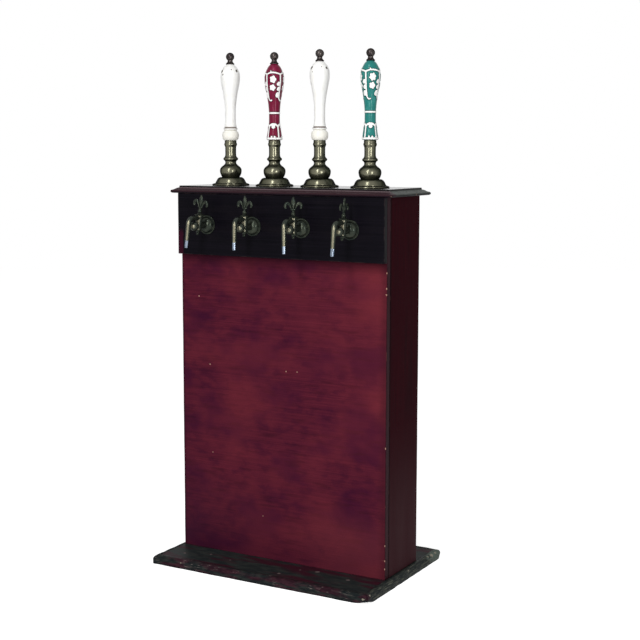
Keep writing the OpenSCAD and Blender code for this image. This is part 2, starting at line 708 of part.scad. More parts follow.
module tap_body(k) color(old_brass) difference() {
    drop = spout_drop[k - 1];
    union() {
        rod_y(tail_r, -plug_out, 0);
        rod_y(shank_r, -1, shank_end - fascia_y);
        translate([0, -plug_out, 0]) {
            translate([0, 0, barrel_low]) cylinder(r = barrel_r * 0.92, h = barrel_foot);
            translate([0, 0, barrel_low + barrel_foot]) cylinder(r1 = barrel_r * 0.92, r2 = barrel_r,
                h = barrel_top - barrel_low - barrel_foot - barrel_lip);
            translate([0, 0, barrel_top - barrel_lip]) cylinder(r = barrel_r * 1.12, h = barrel_lip);
        }
        translate([0, -lobe_out, -1]) sphere(r = lobe_r);
        translate([0, 0, spout_rise]) rod_y(spout_r, -spout_out + bend_r, -plug_out);
        spout_bend(spout_r);
        translate([0, -spout_out, -drop])
            cylinder(r1 = spout_end_r, r2 = spout_r, h = spout_rise - bend_r + drop);
    }
    translate([0, -plug_out, barrel_low - 1]) cylinder(r = plug_r + fit, h = barrel_top - barrel_low + 2);
    rod_y(shank_r / 2, -plug_out, shank_end - fascia_y + 1);
    translate([0, 0, spout_rise]) rod_y(spout_bore_r, -spout_out + bend_r, -plug_out);
    spout_bend(spout_bore_r);
    translate([0, -spout_out, -drop - 1])
        cylinder(r = spout_bore_r, h = spout_rise - bend_r + drop + 1);
}

module spout_bend(r) translate([0, -spout_out + bend_r, spout_rise - bend_r]) rotate([90, 0, 90])
    rotate([0, 0, 90]) rotate_extrude(angle = 90) translate([bend_r, 0]) circle(r = r);

// Sides of a nozzle, with a ring groove near its mouth, as shares of its radius and length
nozzle_side = [[1, 0.13], [0.89, 0.145], [0.89, 0.165], [1, 0.18], [1, 0.85], [1.11, 0.88], [1.11, 1]];

module nozzles() color(silver) for (k = PULLS) tap_place(k)
    translate([0, -spout_out, -spout_drop[k - 1] - nozzle_l]) difference() {
        lathe(concat(arc([nozzle_r * 0.78, nozzle_r * 0.22], nozzle_r * 0.22, -90, 0, 5),
            sized(nozzle_side, nozzle_r, nozzle_l)));
        translate([0, 0, -1]) cylinder(r = spout_bore_r, h = nozzle_l + 2);
    }

module tail_nuts() color(old_brass) for (k = PULLS) tap_place(k) difference() {
    hex_y(nut_flat_r, inner_front - fascia_y, inner_front - fascia_y + nut_t);
    rod_y(shank_r + 0.02, -1, shank_end - fascia_y);
}

// Key: a plug with a collar and bead, topped by a fleur-de-lis, held by a nut below.
// The flower is drawn in shares of its height: the middle leaf from foot to point,
// and one side petal, which rises from the band, curls over and ends in a drooping tip
middle_leaf = [[0.045, 0], [0.052, 0.14], [0.075, 0.26], [0.12, 0.42], [0.138, 0.56], [0.11, 0.71],
    [0.055, 0.85], [0, 0.95]];
side_petal = [[0.04, 0.05], [0.08, 0.24], [0.14, 0.42], [0.22, 0.54], [0.35, 0.6], [0.47, 0.55],
    [0.545, 0.44], [0.545, 0.31], [0.49, 0.2], [0.42, 0.17], [0.385, 0.22], [0.42, 0.3], [0.435, 0.38],
    [0.405, 0.45], [0.345, 0.47], [0.28, 0.41], [0.22, 0.28], [0.15, 0.13], [0.08, 0.03]];
band_w = 0.36;
band_z = 0.11;
band_h = 0.09;
stem_in = 4;
stem_w = 7;

module fleur_outline() {
    leaf_side = curve(sized(middle_leaf, fleur_h, fleur_h), 3);
    polygon(concat(leaf_side, [for (i = [len(leaf_side) - 2:-1:0]) [-leaf_side[i][0], leaf_side[i][1]]]));
    for (s = [-1, 1]) polygon(curve(sized(side_petal, s * fleur_h, fleur_h), 3));
    translate([0, fleur_h * (band_z + band_h / 2)]) square([band_w, band_h] * fleur_h, center = true);
    translate([-stem_w / 2, -stem_in]) square([stem_w, stem_in + fleur_h * band_z + 1]);
}

// Collar and bead under the flower, as shares of the plug's radius
key_collar = [[1.92, 0], [2.02, 0.1], [2.06, 0.22], [2.02, 0.34], [1.54, 0.52], [1, 0.77], [0.71, 1.02]];
bead_out = 0.92;
flower_z = 2.46;
key_neck = [[0.55, 2.7], [0.55, 2.92]];

module tap_key(k) color(old_brass) translate([0, -plug_out, 0]) rotate([0, 0, key_turn(k)]) {
    head_z = barrel_top + 0.4;
    washer_t = plug_r * 0.31;
    nut_h = plug_r * 0.86;
    translate([0, 0, barrel_low - 0.4]) cylinder(r = plug_r, h = head_z - barrel_low + 0.4);
    translate([0, 0, head_z]) lathe(concat(curve(sized(key_collar, plug_r, plug_r)),
        arc([0, plug_r * 1.69], plug_r * bead_out, -45, 50, 8), sized(key_neck, plug_r, plug_r)));
    translate([0, 0, head_z + plug_r * flower_z]) rotate([90, 0, 0])
        linear_extrude(fleur_t, center = true) fleur_outline();
    translate([0, 0, barrel_low - 0.4 - washer_t]) cylinder(r = plug_r * 1.34, h = washer_t);
    translate([0, 0, barrel_low - 0.4 - washer_t - nut_h]) cylinder(r = plug_r * 0.83, h = nut_h, $fn = 6);
    translate([0, 0, barrel_low - 0.4 - washer_t - nut_h - plug_r * 0.4]) sphere(r = plug_r * 0.68);
}

module at_pull(k) translate([pull_x(k), 0, top_z]) children();
module at_pump(k) translate([pull_x(k), 0, 0]) children();

plinth_board();
plinth_edging();
front_panel();
left_side();
right_side();
top_board();
fascia_board();
pump_shelf();
case_battens();
case_hinge_leaves();
back_door();
door_hinge_leaves();
door_knob();
pivot_pins();
cylinder_caps();
rosettes();
nozzles();
tail_nuts();
outlet_pipes();
inlet_tails();
for (k = PULLS) {
    at_pull(k) bell();
    at_pull(k) column();
    at_pull(k) lever();
    at_pull(k) color(GRIP_COLOURS[k - 1]) grip(k);
    at_pull(k) finial(k);
    at_pump(k) piston();
    at_pump(k) crosshead();
    at_pump(k) translate([0, 0, cyl_z]) cylinder_shape(k);
    tap_place(k) tap_body(k);
    tap_place(k) tap_key(k);
}
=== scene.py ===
"""Looks of a four-pull beer engine: an old wooden case with porcelain grips and brass taps."""
import json
from math import cos, radians, sin

import bmesh
import bpy
import numpy as np
from mathutils import Euler, Matrix, Vector


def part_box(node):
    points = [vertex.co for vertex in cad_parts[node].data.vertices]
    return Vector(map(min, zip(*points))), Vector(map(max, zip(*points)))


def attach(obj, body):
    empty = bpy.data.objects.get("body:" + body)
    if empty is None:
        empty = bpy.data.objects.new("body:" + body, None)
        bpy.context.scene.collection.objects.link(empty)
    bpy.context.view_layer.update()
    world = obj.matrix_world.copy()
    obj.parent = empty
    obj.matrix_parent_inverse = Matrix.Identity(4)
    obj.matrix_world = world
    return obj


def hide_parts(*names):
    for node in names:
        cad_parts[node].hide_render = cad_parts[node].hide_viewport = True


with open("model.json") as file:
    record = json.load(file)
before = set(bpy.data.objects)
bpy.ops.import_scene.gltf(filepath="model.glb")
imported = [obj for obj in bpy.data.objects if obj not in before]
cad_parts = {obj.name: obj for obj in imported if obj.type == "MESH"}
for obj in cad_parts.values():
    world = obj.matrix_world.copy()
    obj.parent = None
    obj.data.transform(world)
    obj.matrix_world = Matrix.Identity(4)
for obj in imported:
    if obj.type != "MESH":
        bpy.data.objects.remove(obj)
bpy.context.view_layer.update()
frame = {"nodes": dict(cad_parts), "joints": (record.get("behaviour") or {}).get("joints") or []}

# Plinth board
# A flat softwood board under the whole case. It was stained maroon, then painted grey-green, and
# the paint has rubbed through in places and is scraped along the front.


class Shade:
    """One output of a shader node. A sum written on it adds Math nodes to the same finish."""

    def __init__(self, finish, socket):
        self.finish = finish
        self.socket = socket

    def math(self, operation, *values):
        """A Math node of that operation on those values."""
        return self.finish.node("Math", {"operation": operation}, dict(enumerate(values)))

    def __add__(self, other):
        return self.math("ADD", self, other)

    def __radd__(self, other):
        return self.math("ADD", other, self)

    def __sub__(self, other):
        return self.math("SUBTRACT", self, other)

    def __rsub__(self, other):
        return self.math("SUBTRACT", other, self)

    def __mul__(self, other):
        return self.math("MULTIPLY", self, other)

    def __rmul__(self, other):
        return self.math("MULTIPLY", other, self)

    def __abs__(self):
        return self.math("ABSOLUTE", self)

    def most(self, other):
        """The greater of the two."""
        return self.math("MAXIMUM", self, other)

    def step(self, low, high):
        """0 below low, 1 above high, and a smooth curve between. With low above high it falls."""
        if low > high:
            return 1 - self.step(high, low)
        return self.finish.node(
            "MapRange",
            {"interpolation_type": "SMOOTHSTEP"},
            {"Value": self, "From Min": low, "From Max": high},
        )


class Finish:
    """A new material or world. node() adds any node to it, and surface() closes a material."""

    def __init__(self, name, family="materials"):
        self.holder = getattr(bpy.data, family).new(name)
        self.holder.use_nodes = True
        self.tree = self.holder.node_tree
        self.tree.nodes.clear()

    def node(self, kind, settings, sockets, output=0):
        """Adds a node, with its settings set first and then its sockets' values or links."""
        made = self.tree.nodes.new("ShaderNode" + kind)
        for name, value in settings.items():
            setattr(made, name, value)
        for name, value in sockets.items():
            if isinstance(value, Shade):
                self.tree.links.new(value.socket, made.inputs[name])
            else:
                made.inputs[name].default_value = value
        return Shade(self, made.outputs[output]) if made.outputs else made

    def place(self):
        """The place on the object, in metres."""
        return self.node("TexCoord", {}, {}, "Object")

    def axis(self, name):
        """The place along X, Y or Z."""
        return self.node("SeparateXYZ", {}, {"Vector": self.place()}, name)

    def noise(self, size, detail=3, shift=0.0):
        """Cloudy noise whose lumps are size metres long along X, Y and Z."""
        scale = tuple(1 / length for length in size)
        moved = {"Vector": self.place(), "Location": (shift, shift, shift), "Scale": scale}
        spread = self.node("Mapping", {}, moved)
        return self.node("TexNoise", {}, {"Vector": spread, "Scale": 1.0, "Detail": detail})

    def mark(self, name):
        """How strongly a mark is painted on the mesh, from 0 to 1."""
        return self.node("Attribute", {"attribute_name": name}, {}, "Fac")

    def spot(self, centre, radius, rag):
        """1 round a place and 0 a radius away from it, with an outline made ragged by a noise."""
        ends = {0: self.place(), 1: centre}
        away = self.node("VectorMath", {"operation": "DISTANCE"}, ends, "Value")
        return (away + (rag - 0.5) * radius * 2).step(radius, radius * 0.55)

    def facing(self, direction):
        """How squarely the surface faces a direction fixed to its piece: 1 straight, 0 edge on."""
        normal = self.node("TexCoord", {}, {}, "Normal")
        ends = {0: normal, 1: direction}
        return self.node("VectorMath", {"operation": "DOT_PRODUCT"}, ends, "Value")

    def mix(self, under, over, share):
        """One colour over another, which covers that share of it."""
        return self.node("Mix", {"data_type": "RGBA"}, {0: share, 6: under, 7: over}, 2)

    def coats(self, colour, *coats):
        """A colour with coats laid over it in turn, each a colour and the share that it covers."""
        for over, share in coats:
            colour = self.mix(colour, over, share)
        return colour

    def surface(self, colour, roughness, others, height=None, depth=0.0):
        """The principled surface, with any others of its sockets. Height is a 0 to 1 pattern that
        stands depth metres proud."""
        sockets = {"Base Color": colour, "Roughness": roughness, **others}
        if height is not None:
            sockets["Normal"] = self.node("Bump", {}, {"Height": height, "Distance": depth})
        shader = self.node("BsdfPrincipled", {}, sockets)
        self.node("OutputMaterial", {}, {"Surface": shader})
        return self.holder


WOOD_GLOSS = 0.03


def wood(finish, colour, roughness, grain, depth, gloss=WOOD_GLOSS):
    """The surface of a stained or painted board, with grain that stands depth metres proud."""
    return finish.surface(colour, roughness, {"Specular IOR Level": gloss}, grain, depth)


def tone(red, green, blue):
    """A paint colour read off a 0 to 255 colour chart, as the linear light that a shader takes."""
    chart = np.array([red, green, blue]) / 255
    light = np.where(chart <= 0.04045, chart / 12.92, ((chart + 0.055) / 1.055) ** 2.4)
    return (*map(float, light), 1.0)


def dress(material, *names):
    """Gives the CAD nodes of those names a finish."""
    for name in names:
        for place in frame["nodes"][name].material_slots:
            place.material = material


plinth_low, plinth_high = map(np.array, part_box("plinth_board"))
plinth_t = plinth_high[2] - plinth_low[2]
MAROON = tone(54, 16, 30)
GREY_GREEN = tone(30, 36, 37)
PALE_GREEN = tone(46, 50, 48)
SCRAPED = tone(128, 112, 110)
# Place across, place front to back, and radius
SCRAPES = [
    (0.132, -0.1247, 0.007), (0.2345, -0.140, 0.006), (0.0842, -0.1331, 0.004),
    (-0.1257, -0.1561, 0.004), (-0.269, -0.1673, 0.005), (0.05, -0.185, 0.005), (-0.2, -0.14, 0.004),
]
plinth_paint = Finish("plinth_paint")
board_rag = plinth_paint.noise((0.03, 0.012, 0.02), 4)
rubbed_through = plinth_paint.noise((0.16, 0.03, 0.05), 4, 3.0)
board_coats = [
    (PALE_GREEN, board_rag.step(0.35, 0.7)),
    (MAROON, rubbed_through.step(0.46, 0.62) * 0.85),
]
for across, deep, radius in SCRAPES:
    scrape = plinth_paint.spot((across, deep, plinth_t), radius, board_rag)
    board_coats.append((SCRAPED, scrape * 0.6))
board_colour = plinth_paint.coats(GREY_GREEN, *board_coats)
dress(wood(plinth_paint, board_colour, board_rag * 0.3 + 0.35, board_rag, 0.0003), "plinth_board")

# Plinth edging
# Four half-round strips nailed round the plinth board and mitred at the corners. The front one has
# lost most of its paint, and the mitres stand a little open, most of all the front strip's.

WELD = 2e-6


def sheet(points, keep=None, **marks):
    """A grid of points in rows, columns and XYZ, the cells to keep, and marks painted on points."""
    return {"points": points, "keep": keep, "marks": marks}


def stand(name, data):
    """An object made of that mesh, lamp or camera, in the scene."""
    made = bpy.data.objects.new(name, data)
    bpy.context.scene.collection.objects.link(made)
    return made


def piece(name, sheets, finish, body, slot, *replaced):
    """One mesh from sheets. Four neighbours on a sheet make a face, and points that meet merge."""
    names = sorted({mark for one in sheets for mark in one["marks"]})
    points, faces = [], []
    painted = {mark: [] for mark in names}
    for one in sheets:
        rows, columns = one["points"].shape[:2]
        number = sum(map(len, points)) + np.arange(rows * columns).reshape(rows, columns)
        around = (number[:-1, :-1], number[1:, :-1], number[1:, 1:], number[:-1, 1:])
        quads = np.stack(around, axis=-1)
        keep = np.ones(quads.shape[:2], bool) if one["keep"] is None else one["keep"]
        faces.append(quads[keep])
        points.append(one["points"].reshape(-1, 3))
        for mark in names:
            painted[mark].append(one["marks"].get(mark, np.zeros((rows, columns))).ravel())
    used, corners = np.unique(np.concatenate(faces), return_inverse=True)
    mesh = bpy.data.meshes.new(name)
    mesh.from_pydata(np.concatenate(points)[used], [], corners.reshape(-1, 4).tolist())
    for mark in names:
        layer = mesh.attributes.new(mark, "FLOAT", "POINT")
        layer.data.foreach_set("value", np.concatenate(painted[mark])[used].astype(np.float32))
    knit = bmesh.new()
    knit.from_mesh(mesh)
    bmesh.ops.remove_doubles(knit, verts=knit.verts, dist=WELD)
    bmesh.ops.recalc_face_normals(knit, faces=knit.faces)
    knit.to_mesh(mesh)
    knit.free()
    mesh.shade_smooth()
    mesh.materials.append(finish)
    made = stand(name, mesh)
    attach(made, body)
    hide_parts(*replaced)


def ripple(points, size, seed):
    """Smooth unevenness of about plus and minus 1: a sum of sine waves in seeded directions, whose
    lengths are 0.6 to 1.7 times the size."""
    waves = 12
    draw = np.random.default_rng(seed)
    total = np.zeros(points.shape[:-1])
    for _ in range(waves):
        way = draw.normal(size=3)
        way *= draw.uniform(0.6, 1.6) / np.linalg.norm(way)
        total += np.sin(points @ way * (2 * np.pi / size) + draw.uniform(0, 2 * np.pi))
    return total / waves**0.5


def nicked(points, out, nicks, seed):
    """Dents knocked into a surface, each with a place, a width and a depth. The surface sinks by
    the depth times exp(-(distance / width) squared), with a ragged distance. Returns the points
    and how bare each one is."""
    bare = np.zeros(points.shape[:-1])
    for count, (place, width, depth) in enumerate(nicks):
        away = np.linalg.norm(points - np.array(place), axis=-1) / width
        ragged = 1 + 0.25 * ripple(points, width, seed + count)
        fall = np.exp(-((away * ragged) ** 2))
        points = points - out * (depth * fall)[..., None]
        bare = np.maximum(bare, fall)
    return points, bare


STRIP_STEPS = 420
STRIP_WAVE = 0.0003
STRIP_WAVE_L = 0.05
END_GRAIN_BARE = 0.3
# How steeply a mitre's gap closes away from the corner
GAP_POWER = 60


def strip(start, end, profile, middle, gap, nicks, seed):
    """A strip with mitred ends: its profile, as distance out and height, is carried from corner to
    corner, and runs on at each end by as much as it stands out, less the gap at the mitre. Middle
    is the middle of its nose, which the surface faces away from."""
    start, end = np.array(start), np.array(end)
    length = np.linalg.norm(end - start)
    along = (end - start) / length
    outward = np.array([along[1], -along[0], 0.0])
    share = np.linspace(0, 1, STRIP_STEPS)[:, None]
    from_middle = 2 * share - 1
    at_end = np.abs(from_middle) ** GAP_POWER * np.sign(from_middle)
    out, height = profile[:, 0], profile[:, 1]
    run = share * length + from_middle * out - at_end * gap
    points = start + run[..., None] * along + out[:, None] * outward
    points[..., 2] += height
    up = np.array([0, 0, 1.0])
    facing = (out - middle[0])[:, None] * outward + (height - middle[1])[:, None] * up
    facing = np.broadcast_to(facing / middle[1], points.shape)
    points, bare = nicked(points, facing, nicks, seed)
    points = points + facing * (STRIP_WAVE * ripple(points, STRIP_WAVE_L, seed))[..., None]
    sheets = [sheet(points, bare=bare)]
    for last in (0, -1):
        ring = points[last]
        cap = np.stack([ring, np.broadcast_to(ring.mean(axis=0), ring.shape)])
        sheets.append(sheet(cap, bare=np.full(cap.shape[:2], END_GRAIN_BARE)))
    return sheets


def arc(middle, radius, start, end, steps):
    """Points round part of a circle, between two angles in degrees."""
    turn = np.radians(np.linspace(start, end, steps))
    return np.array(middle) + radius * np.stack([np.cos(turn), np.sin(turn)], axis=1)


edging_low, edging_high = map(np.array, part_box("plinth_edging"))
edging_w = edging_high[0] - plinth_high[0]
nose = plinth_t / 2
nose_middle = np.array([edging_w - nose, nose])
FOOT_R = 0.002
BROW_R = 0.0115
edging_profile = np.concatenate([
    [[0, 0], [edging_w / 2, 0]],
    arc((edging_w - FOOT_R, FOOT_R), FOOT_R, -90, 0, 5),
    [[edging_w, nose * 0.6]],
    arc((edging_w - BROW_R, plinth_t - BROW_R), BROW_R, 0, 90, 12),
    [[0, plinth_t], [0, nose], [0, 0]],
])
left, front, right, back = *plinth_low[:2], *plinth_high[:2]
plinth_corners = [(left, front, 0), (right, front, 0), (right, back, 0), (left, back, 0)]
CHIPS = 18
# Ranges of their places across, distances in from the nose, heights and widths
CHIP_RANGES = [(-0.33, 0.3), (0.0, 0.006), (0.012, 0.023), (0.001, 0.0026)]
draw = np.random.default_rng(11)
chips = zip(*[draw.uniform(low, high, CHIPS) for low, high in CHIP_RANGES])
front_nicks = [((x, edging_low[1] + depth, z), width, width * 0.4) for x, depth, z, width in chips]
front_nicks.append(((edging_high[0] - 0.014, edging_low[1], 0.012), 0.006, 0.003))
# Distance in from the right, place front to back, distance down, width and depth
RIGHT_DENTS = [
    (0.006, 0.150, 0.001, 0.005, 0.003), (0.004, 0.172, 0.002, 0.007, 0.004),
    (0.004, 0.195, 0.002, 0.006, 0.003), (0.004, -0.205, 0.004, 0.004, 0.002),
    (0.003, 0.02, 0.004, 0.003, 0.001),
]
right_nicks = [
    ((edging_high[0] - inwards, y, plinth_t - down), width, depth)
    for inwards, y, down, width, depth in RIGHT_DENTS
]
SPLIT_FORWARD = 0.018
SPLIT_REACH = 0.03
MISSING_FOOT = 0.0085
MISSING_REACH = 0.022


def broken_corners(points):
    """Two corners of the plinth that have been knocked. At the back right the foot of the strips
    has split away forwards, and at the front right a piece of the foot is missing. Each change
    fades with exp(-(distance / reach) squared) and with the height."""
    height = points[..., 2] / plinth_t
    points = points.copy()
    from_back = np.linalg.norm(points[..., :2] - edging_high[:2], axis=-1)
    at_back = np.clip(1 - height, 0, 1) * np.exp(-((from_back / SPLIT_REACH) ** 2))
    points[..., 1] -= SPLIT_FORWARD * at_back
    from_front = np.linalg.norm(points[..., :2] - (edging_high[0], edging_low[1]), axis=-1)
    at_front = np.clip(1 - 1.6 * height, 0, 1) * np.exp(-((from_front / MISSING_REACH) ** 2))
    points[..., 2] += MISSING_FOOT * at_front
    return points


# Each strip's dents, and how far its mitres stand open
EDGINGS = [(front_nicks, 0.0008), (right_nicks, 0.0004), ([], 0.0002), ([], 0.0002)]
edging_sheets = []
for side, (nicks, gap) in enumerate(EDGINGS):
    start, end = plinth_corners[side], plinth_corners[(side + 1) % 4]
    for one in strip(start, end, edging_profile, nose_middle, gap, nicks, side):
        edging_sheets.append({**one, "points": broken_corners(one["points"])})

BARE_PINE = tone(150, 142, 128)
edging_paint = Finish("edging_paint")
edging_rag = edging_paint.noise((0.018, 0.018, 0.005), 5)
edging_cloud = edging_paint.noise((0.07, 0.07, 0.014), 3, 2.0)
patchy = edging_rag.step(0.35, 0.7)
grey_paint = edging_paint.mix(tone(24, 29, 31), tone(44, 48, 46), patchy)
worn_maroon = edging_paint.mix(tone(38, 20, 28), tone(62, 36, 44), patchy)
on_front = edging_paint.axis("Y").step(front + 0.002, front - 0.006)
behind_mitre = edging_paint.axis("Y").step(front - edging_w + 0.01, front - edging_w + 0.035)
on_right = edging_paint.axis("X").step(right + 0.002, right + 0.007) * behind_mitre
front_scratch = edging_paint.noise((0.016, 0.01, 0.0018), 4, 5.0).step(0.6, 0.7) * on_front
front_scratch = front_scratch * edging_paint.noise((0.03, 0.03, 0.03), 2, 8.0).step(0.42, 0.6)
right_scratch = edging_paint.noise((0.0016, 0.035, 0.0016), 4, 6.0).step(0.52, 0.64) * on_right
back_end = edging_paint.spot((0.335, 0.188, 0.022), 0.05, edging_rag)
edging_colour = edging_paint.coats(
    grey_paint,
    (worn_maroon, on_front * edging_cloud.step(0.42, 0.6)),
    (tone(132, 120, 116), front_scratch * 0.7),
    (tone(98, 100, 88), right_scratch * 0.8),
    (tone(96, 106, 98), back_end * 0.8),
    # Painted shade along the foot, where the strips curve under
    (tone(14, 17, 21), edging_paint.axis("Z").step(0.0045, 0.0015) * 0.85),
    (BARE_PINE, edging_paint.mark("bare").step(0.4, 0.75) * 0.9),
)
edging_finish = wood(edging_paint, edging_colour, edging_rag * 0.3 + 0.35, edging_rag, 0.0004)
piece("edging_strips", edging_sheets, edging_finish, "root", "edging_wood", "plinth_edging")

# Front panel
# One wide board over the whole front, stained maroon with a brush, so thin streaks run across it.
# It is glued over the edges of the two sides and has a few small knocks.

LINE_STEP = 0.025
BOARD_ROUND = 0.0012
BOARD_WAVE = 0.00012
BOARD_WAVE_L = 0.09
RUBBED_RIM = 0.003


def net(x, y, z):
    """The points of a sheet, from its X, Y and Z as columns, rows or single values."""
    return np.stack(np.broadcast_arrays(x, y, z), axis=-1)


def board_lines(low, high, radius, stops):
    """Places of the grid lines across a board: close together over the rounded edges and round
    each stop, and a step apart elsewhere."""
    bend = radius * (1 - np.tan(np.linspace(0, np.pi / 4, 5)))
    rim = np.concatenate([bend, [radius * 1.3, radius + 0.0015, radius + 0.003]])
    close = [stop + np.linspace(-0.004, 0.004, 9) for stop in np.unique(stops)]
    between = np.arange(low + 0.01, high - 0.008, LINE_STEP)
    lines = np.unique(np.round(np.concatenate([low + rim, high - rim, between, *close]), 5))
    return np.concatenate([[low], lines[(lines > low + 5e-5) & (lines < high - 5e-5)], [high]])


def board(low, high, radius, nicks, seed):
    """The six sheets of a board with rounded edges. A point of the sharp box is pulled in to a box
    that is smaller by the radius all round, and pushed out again by the radius the same way."""
    low, high = np.array(low), np.array(high)
    stops = np.array([place for place, _, _ in nicks]).reshape(-1, 3)
    lines = [board_lines(low[a], high[a], radius, stops[:, a]) for a in range(3)]
    sheets = []
    for flat in range(3):
        across, up = [a for a in range(3) if a != flat]
        for level in (low[flat], high[flat]):
            ways = {flat: level, across: lines[across][:, None], up: lines[up]}
            grid = net(ways[0], ways[1], ways[2])
            inner = np.clip(grid, low + radius, high - radius)
            out = grid - inner
            out /= np.linalg.norm(out, axis=-1, keepdims=True)
            from_edge = np.sort(np.minimum(grid - low, high - grid), axis=-1)[..., 1]
            rim = np.clip(1 - from_edge / (radius + RUBBED_RIM), 0, 1)
            points, bare = nicked(inner + out * radius, out, nicks, seed)
            points = points + out * (BOARD_WAVE * ripple(grid, BOARD_WAVE_L, seed))[..., None]
            sheets.append(sheet(points, bare=bare, edge=rim))
    return sheets


front_low, front_high = map(np.array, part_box("front_panel"))
fascia_low, fascia_high = map(np.array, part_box("fascia_board"))
panel_y = front_low[1]
KNOCK_HEIGHTS = (0.834, 0.794, 0.778, 0.377, 0.117, 0.077, 0.055)
panel_nicks = [
    ((-0.2637, panel_y, 0.7416), 0.0022, 0.0008),
    ((-0.2287, panel_y, 0.5532), 0.0020, 0.0008),
    ((0.0183, panel_y, 0.5538), 0.0018, 0.0007),
    ((0.0527, panel_y, 0.5554), 0.0018, 0.0007),
    ((-0.2211, panel_y, 0.3042), 0.0016, 0.0004),
    ((-0.0565, panel_y, 0.1439), 0.0016, 0.0004),
    *(((front_high[0], panel_y, height), 0.003, 0.0012) for height in KNOCK_HEIGHTS),
]

panel_stain = Finish("panel_stain")
across, upwards = panel_stain.axis("X"), panel_stain.axis("Z")
fine = panel_stain.noise((0.30, 0.02, 0.0011), 4)
broad = panel_stain.noise((0.09, 0.05, 0.012), 5, 4.0)
patch = panel_stain.noise((0.16, 0.1, 0.11), 4, 9.0)
mottle = panel_stain.noise((0.035, 0.02, 0.018), 6, 15.0)
blush = panel_stain.noise((0.2, 0.1, 0.16), 3, 12.0).step(0.42, 0.7)
to_upper_right = (across + upwards * 0.5).step(0.3, 0.8)
low_left = (upwards + across * 0.3).step(0.22, -0.06)
low_right = upwards.step(0.22, 0.1) * across.step(0.0, 0.2)
right_edge = across.step(front_high[0] - 0.028, front_high[0] - 0.001)
end_face = across.step(front_high[0] - 0.0014, front_high[0] - 0.0004)
# Painted shadow under the fascia, and a darker strip down the left edge
fascia_shadow_and_left_edge = upwards.step(fascia_low[2] - 0.044, fascia_low[2] + 0.003)
fascia_shadow_and_left_edge = fascia_shadow_and_left_edge.most(across.step(front_low[0] + 0.012, front_low[0]))
rubbed_edge = panel_stain.mark("edge") * panel_stain.noise((0.02, 0.02, 0.03), 3).step(0.5, 0.66)
panel_colour = panel_stain.coats(
    tone(70, 20, 37),
    (tone(88, 28, 44), fine.step(0.3, 0.7)),
    (tone(46, 8, 38), patch.step(0.46, 0.66) * 0.72),
    (tone(48, 12, 26), broad.step(0.5, 0.72) * 0.6),
    (tone(48, 10, 34), mottle.step(0.48, 0.68) * 0.45),
    (tone(116, 42, 50), blush * 0.38 + to_upper_right * 0.36),
    (tone(56, 20, 38), low_left * 0.5),
    (tone(104, 42, 50), low_right * (0.2 + patch * 0.5)),
    (tone(56, 18, 28), right_edge * (0.3 + mottle * 0.5)),
    (tone(30, 8, 16), end_face * 0.85),
    # Painted shadow under the fascia, and darker down the left edge
    (tone(36, 8, 20), fascia_shadow_and_left_edge * 0.7),
    (tone(104, 60, 54), rubbed_edge.step(0.5, 1.0) * 0.5),
    (tone(190, 150, 130), panel_stain.mark("bare").step(0.35, 0.7) * 0.9),
)
front_sheets = board(front_low, front_high, BOARD_ROUND, panel_nicks, 3)
front_finish = wood(panel_stain, panel_colour, fine * 0.25 + 0.33, fine + broad, 0.00025)
piece("front_board", front_sheets, front_finish, "root", "maroon_wood", "front_panel")

# Sides and back door
# Narrower boards of the same softwood with the grain upright and a darker red-brown stain. The
# sides are glued behind the front panel, and the door hangs between them at the back.

SIDE_GLOSS = 0.006
side_stain = Finish("side_stain")
upright = side_stain.noise((0.004, 0.0016, 0.35), 4)
side_cloud = side_stain.noise((0.05, 0.04, 0.3), 4, 6.0)
low_down = side_stain.axis("Z").step(0.46, 0.1)
by_panel = side_stain.axis("Y").step(front_high[1] + 0.011, front_high[1] + 0.001)
side_edge = side_stain.mark("edge") * side_stain.noise((0.02, 0.02, 0.03), 3).step(0.5, 0.66)
side_colour = side_stain.coats(
    tone(32, 1, 9),
    (tone(50, 4, 14), upright.step(0.3, 0.7)),
    (tone(26, 4, 10), side_cloud.step(0.5, 0.75) * 0.6),
    (tone(66, 42, 46), low_down * (0.35 + side_cloud * 0.7)),
    (tone(10, 3, 6), by_panel * 0.7),
    (tone(88, 56, 50), side_edge.step(0.4, 1.0) * 0.4),
)
dark_stain = wood(side_stain, side_colour, upright * 0.25 + 0.33, upright, 0.00025, SIDE_GLOSS)
for name, node, body, seed in (
    ("left_board", "left_side", "root", 10),
    ("right_board", "right_side", "root", 11),
    ("door_board", "back_door", "door", 10),
):
    sheets = board(*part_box(node), BOARD_ROUND, (), seed)
    piece(name, sheets, dark_stain, body, "dark_wood", node)

# Fascia board
# A thick board across the top of the front that carries the taps. It is stained nearly black and
# polished, and the stain has worn off at its lower left end.

FASCIA_ROUND = 0.0015
fascia_nicks = [
    ((fascia_high[0], fascia_low[1], fascia_low[2] + 0.002), 0.004, 0.002),
    ((fascia_low[0] + 0.01, fascia_low[1], fascia_low[2]), 0.003, 0.001),
    ((0.12, fascia_low[1], fascia_low[2]), 0.0025, 0.001),
]
fascia_stain = Finish("fascia_stain")
fascia_grain = fascia_stain.noise((0.3, 0.02, 0.0015), 4)
fascia_cloud = fascia_stain.noise((0.15, 0.1, 0.04), 3, 7.0)
end_rag = fascia_stain.noise((0.006, 0.02, 0.02), 3, 1.0)
left_end = fascia_stain.axis("X") + (end_rag - 0.5) * 0.01
left_end = left_end.step(fascia_low[0] + 0.02, fascia_low[0] + 0.014)
lower_end = fascia_stain.axis("Z") + (fascia_cloud - 0.5) * 0.03
lower_end = lower_end.step(fascia_low[2] + 0.075, fascia_low[2] + 0.055)
# Lighter along the edges: worn stain with a painted highlight on the rounded arrises
fascia_edge_wear_and_highlight = fascia_stain.mark("edge") * fascia_stain.noise((0.03, 0.02, 0.02), 3).step(0.35, 0.6)
